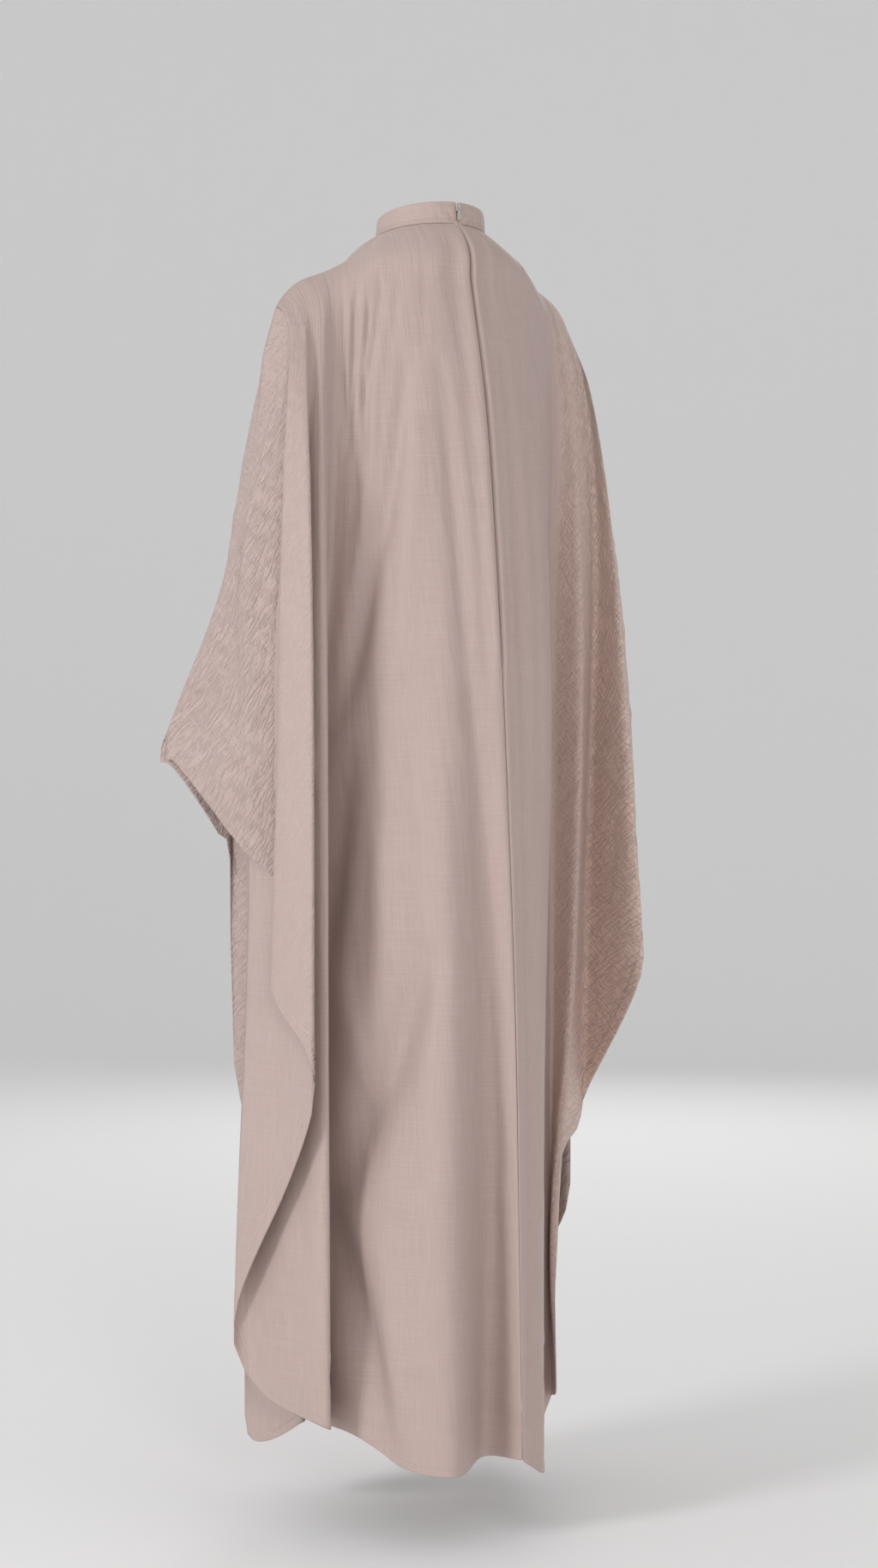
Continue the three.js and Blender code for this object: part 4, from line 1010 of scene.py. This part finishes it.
line_y, line_z = [], []
for k in range(ZIP_STEPS + 1):
    z = tape_foot + (ZIP_TOP - tape_foot) * k / ZIP_STEPS
    in_collar = z - NECK_HEIGHT - NECK_RISE
    if in_collar > 0:
        line_y.append(NECK_HALF_DEPTH - 0.9 - COLLAR_LEAN * in_collar / COLLAR_HEIGHT)
    else:
        line_y.append(float(np.interp(z, seam_heights, seam_depths)) - 1.1)
    line_z.append(z)
line_y = np.array(line_y)
# the tape bends gently from the collar into the back
for _ in range(4):
    line_y[1:-1] = (line_y[:-2] + 2 * line_y[1:-1] + line_y[2:]) / 4
bm = bmesh.new()
bmesh.ops.create_grid(bm, x_segments=4, y_segments=ZIP_STEPS, size=0.5)
for vert in bm.verts:
    z = line_z[0] + (line_z[-1] - line_z[0]) * (vert.co.y + 0.5)
    bow = TAPE_BOW * (abs(vert.co.x) * 2) ** 2
    vert.co = (vert.co.x * TAPE_WIDTH * MM, (float(np.interp(z, line_z, line_y)) - TAPE_BEHIND - bow) * MM,
               (z - SHOULDER_HEIGHT) * MM)
bmesh.ops.recalc_face_normals(bm, faces=bm.faces)
bmesh.ops.solidify(bm, geom=bm.faces[:], thickness=TAPE_WALL * MM)
bmesh.ops.recalc_face_normals(bm, faces=bm.faces)
zip_tape = finish_mesh("zip_tape", bm, thread_beige)
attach(zip_tape, "garment")

bm = bmesh.new()
z = ZIP_END
while z < ZIP_TOP - 1:
    y = float(np.interp(z, line_z, line_y)) - COIL_BEHIND
    side = 1 if round((z - ZIP_END) / COIL_PITCH) % 2 else -1
    for vert in bmesh.ops.create_cube(bm, size=1.0)["verts"]:
        tip = 0.6 if vert.co.x * side > 0 else 1.0
        vert.co = ((vert.co.x * COIL_WIDTH + COIL_OFFSET * side) * MM,
                   (y + vert.co.y * COIL_DEPTH * tip) * MM,
                   (z + vert.co.z * COIL_PITCH * 0.62 * tip - SHOULDER_HEIGHT) * MM)
    z += COIL_PITCH
for vert in bmesh.ops.create_cube(bm, size=1.0)["verts"]:
    vert.co = (vert.co.x * STOP_WIDTH * MM, (float(line_y[0]) + 0.3 + vert.co.y * STOP_DEPTH) * MM,
               (ZIP_END - STOP_BELOW + vert.co.z * STOP_HEIGHT - SHOULDER_HEIGHT) * MM)
stop = bm.verts[-8:]
stop_edges = [e for e in bm.edges if all(v in stop for v in e.verts)]
bmesh.ops.bevel(bm, geom=stop + stop_edges, offset=0.0003, offset_type="OFFSET", affect="EDGES", segments=2,
                profile=0.5, material=-1)
bmesh.ops.recalc_face_normals(bm, faces=bm.faces)
nylon, tree, surface = new_material("nylon_coil")
shaded = tuple(c * NYLON_SHADE for c in NYLON_BEIGE)
wire(tree, blend_colours(tree, grain_noise(tree, 900), shaded, NYLON_BEIGE), surface.inputs["Base Color"])
set_inputs(surface, {"Roughness": 0.38})
zip_coil = finish_mesh("zip_coil", bm, nylon)
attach(zip_coil, "garment")


# Zip slider and pull tab: small die castings in pale silver, with their sharp edges rounded. The slider stays
# at the top of the collar, and the drop-shaped pull hangs in its bail and swings.
SILVER_WORN, SILVER_BRIGHT = (0.53, 0.50, 0.46), (0.75, 0.72, 0.67)
silver, tree, surface = new_material("pale_silver")
rub = grain_noise(tree, 620, 4)
wire(tree, blend_colours(tree, rub, SILVER_WORN, SILVER_BRIGHT), surface.inputs["Base Color"])
wire(tree, scalar(tree, "ADD", scalar(tree, "MULTIPLY", rub, 0.22), 0.26), surface.inputs["Roughness"])
wire(tree, bumped(tree, rub, 0.12, 0.0002), surface.inputs["Normal"])
set_inputs(surface, {"Metallic": 1.0})
for name, node, body, rounding in (("slider_body", "zip_slider", "garment", 0.00022),
                                   ("pull_tab", "zip_pull", "pull", 0.00020)):
    bm = bmesh.new()
    bm.from_mesh(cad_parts[node].data)
    bmesh.ops.remove_doubles(bm, verts=bm.verts, dist=1e-6)
    bmesh.ops.dissolve_limit(bm, angle_limit=math.radians(2), verts=bm.verts, edges=bm.edges)
    sharp = [e for e in bm.edges if len(e.link_faces) == 2 and e.calc_face_angle() > math.radians(35)]
    bmesh.ops.bevel(bm, geom=sharp, offset=rounding, offset_type="OFFSET", affect="EDGES", segments=3,
                    profile=0.5, material=-1, clamp_overlap=True)
    for face in bm.faces:
        face.smooth = True
        face.material_index = 0
    casting = finish_mesh(name, bm, silver)
    flat_faces = casting.modifiers.new("flat_faces", "WEIGHTED_NORMAL")
    flat_faces.keep_sharp = True
    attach(casting, body)
    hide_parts(node)
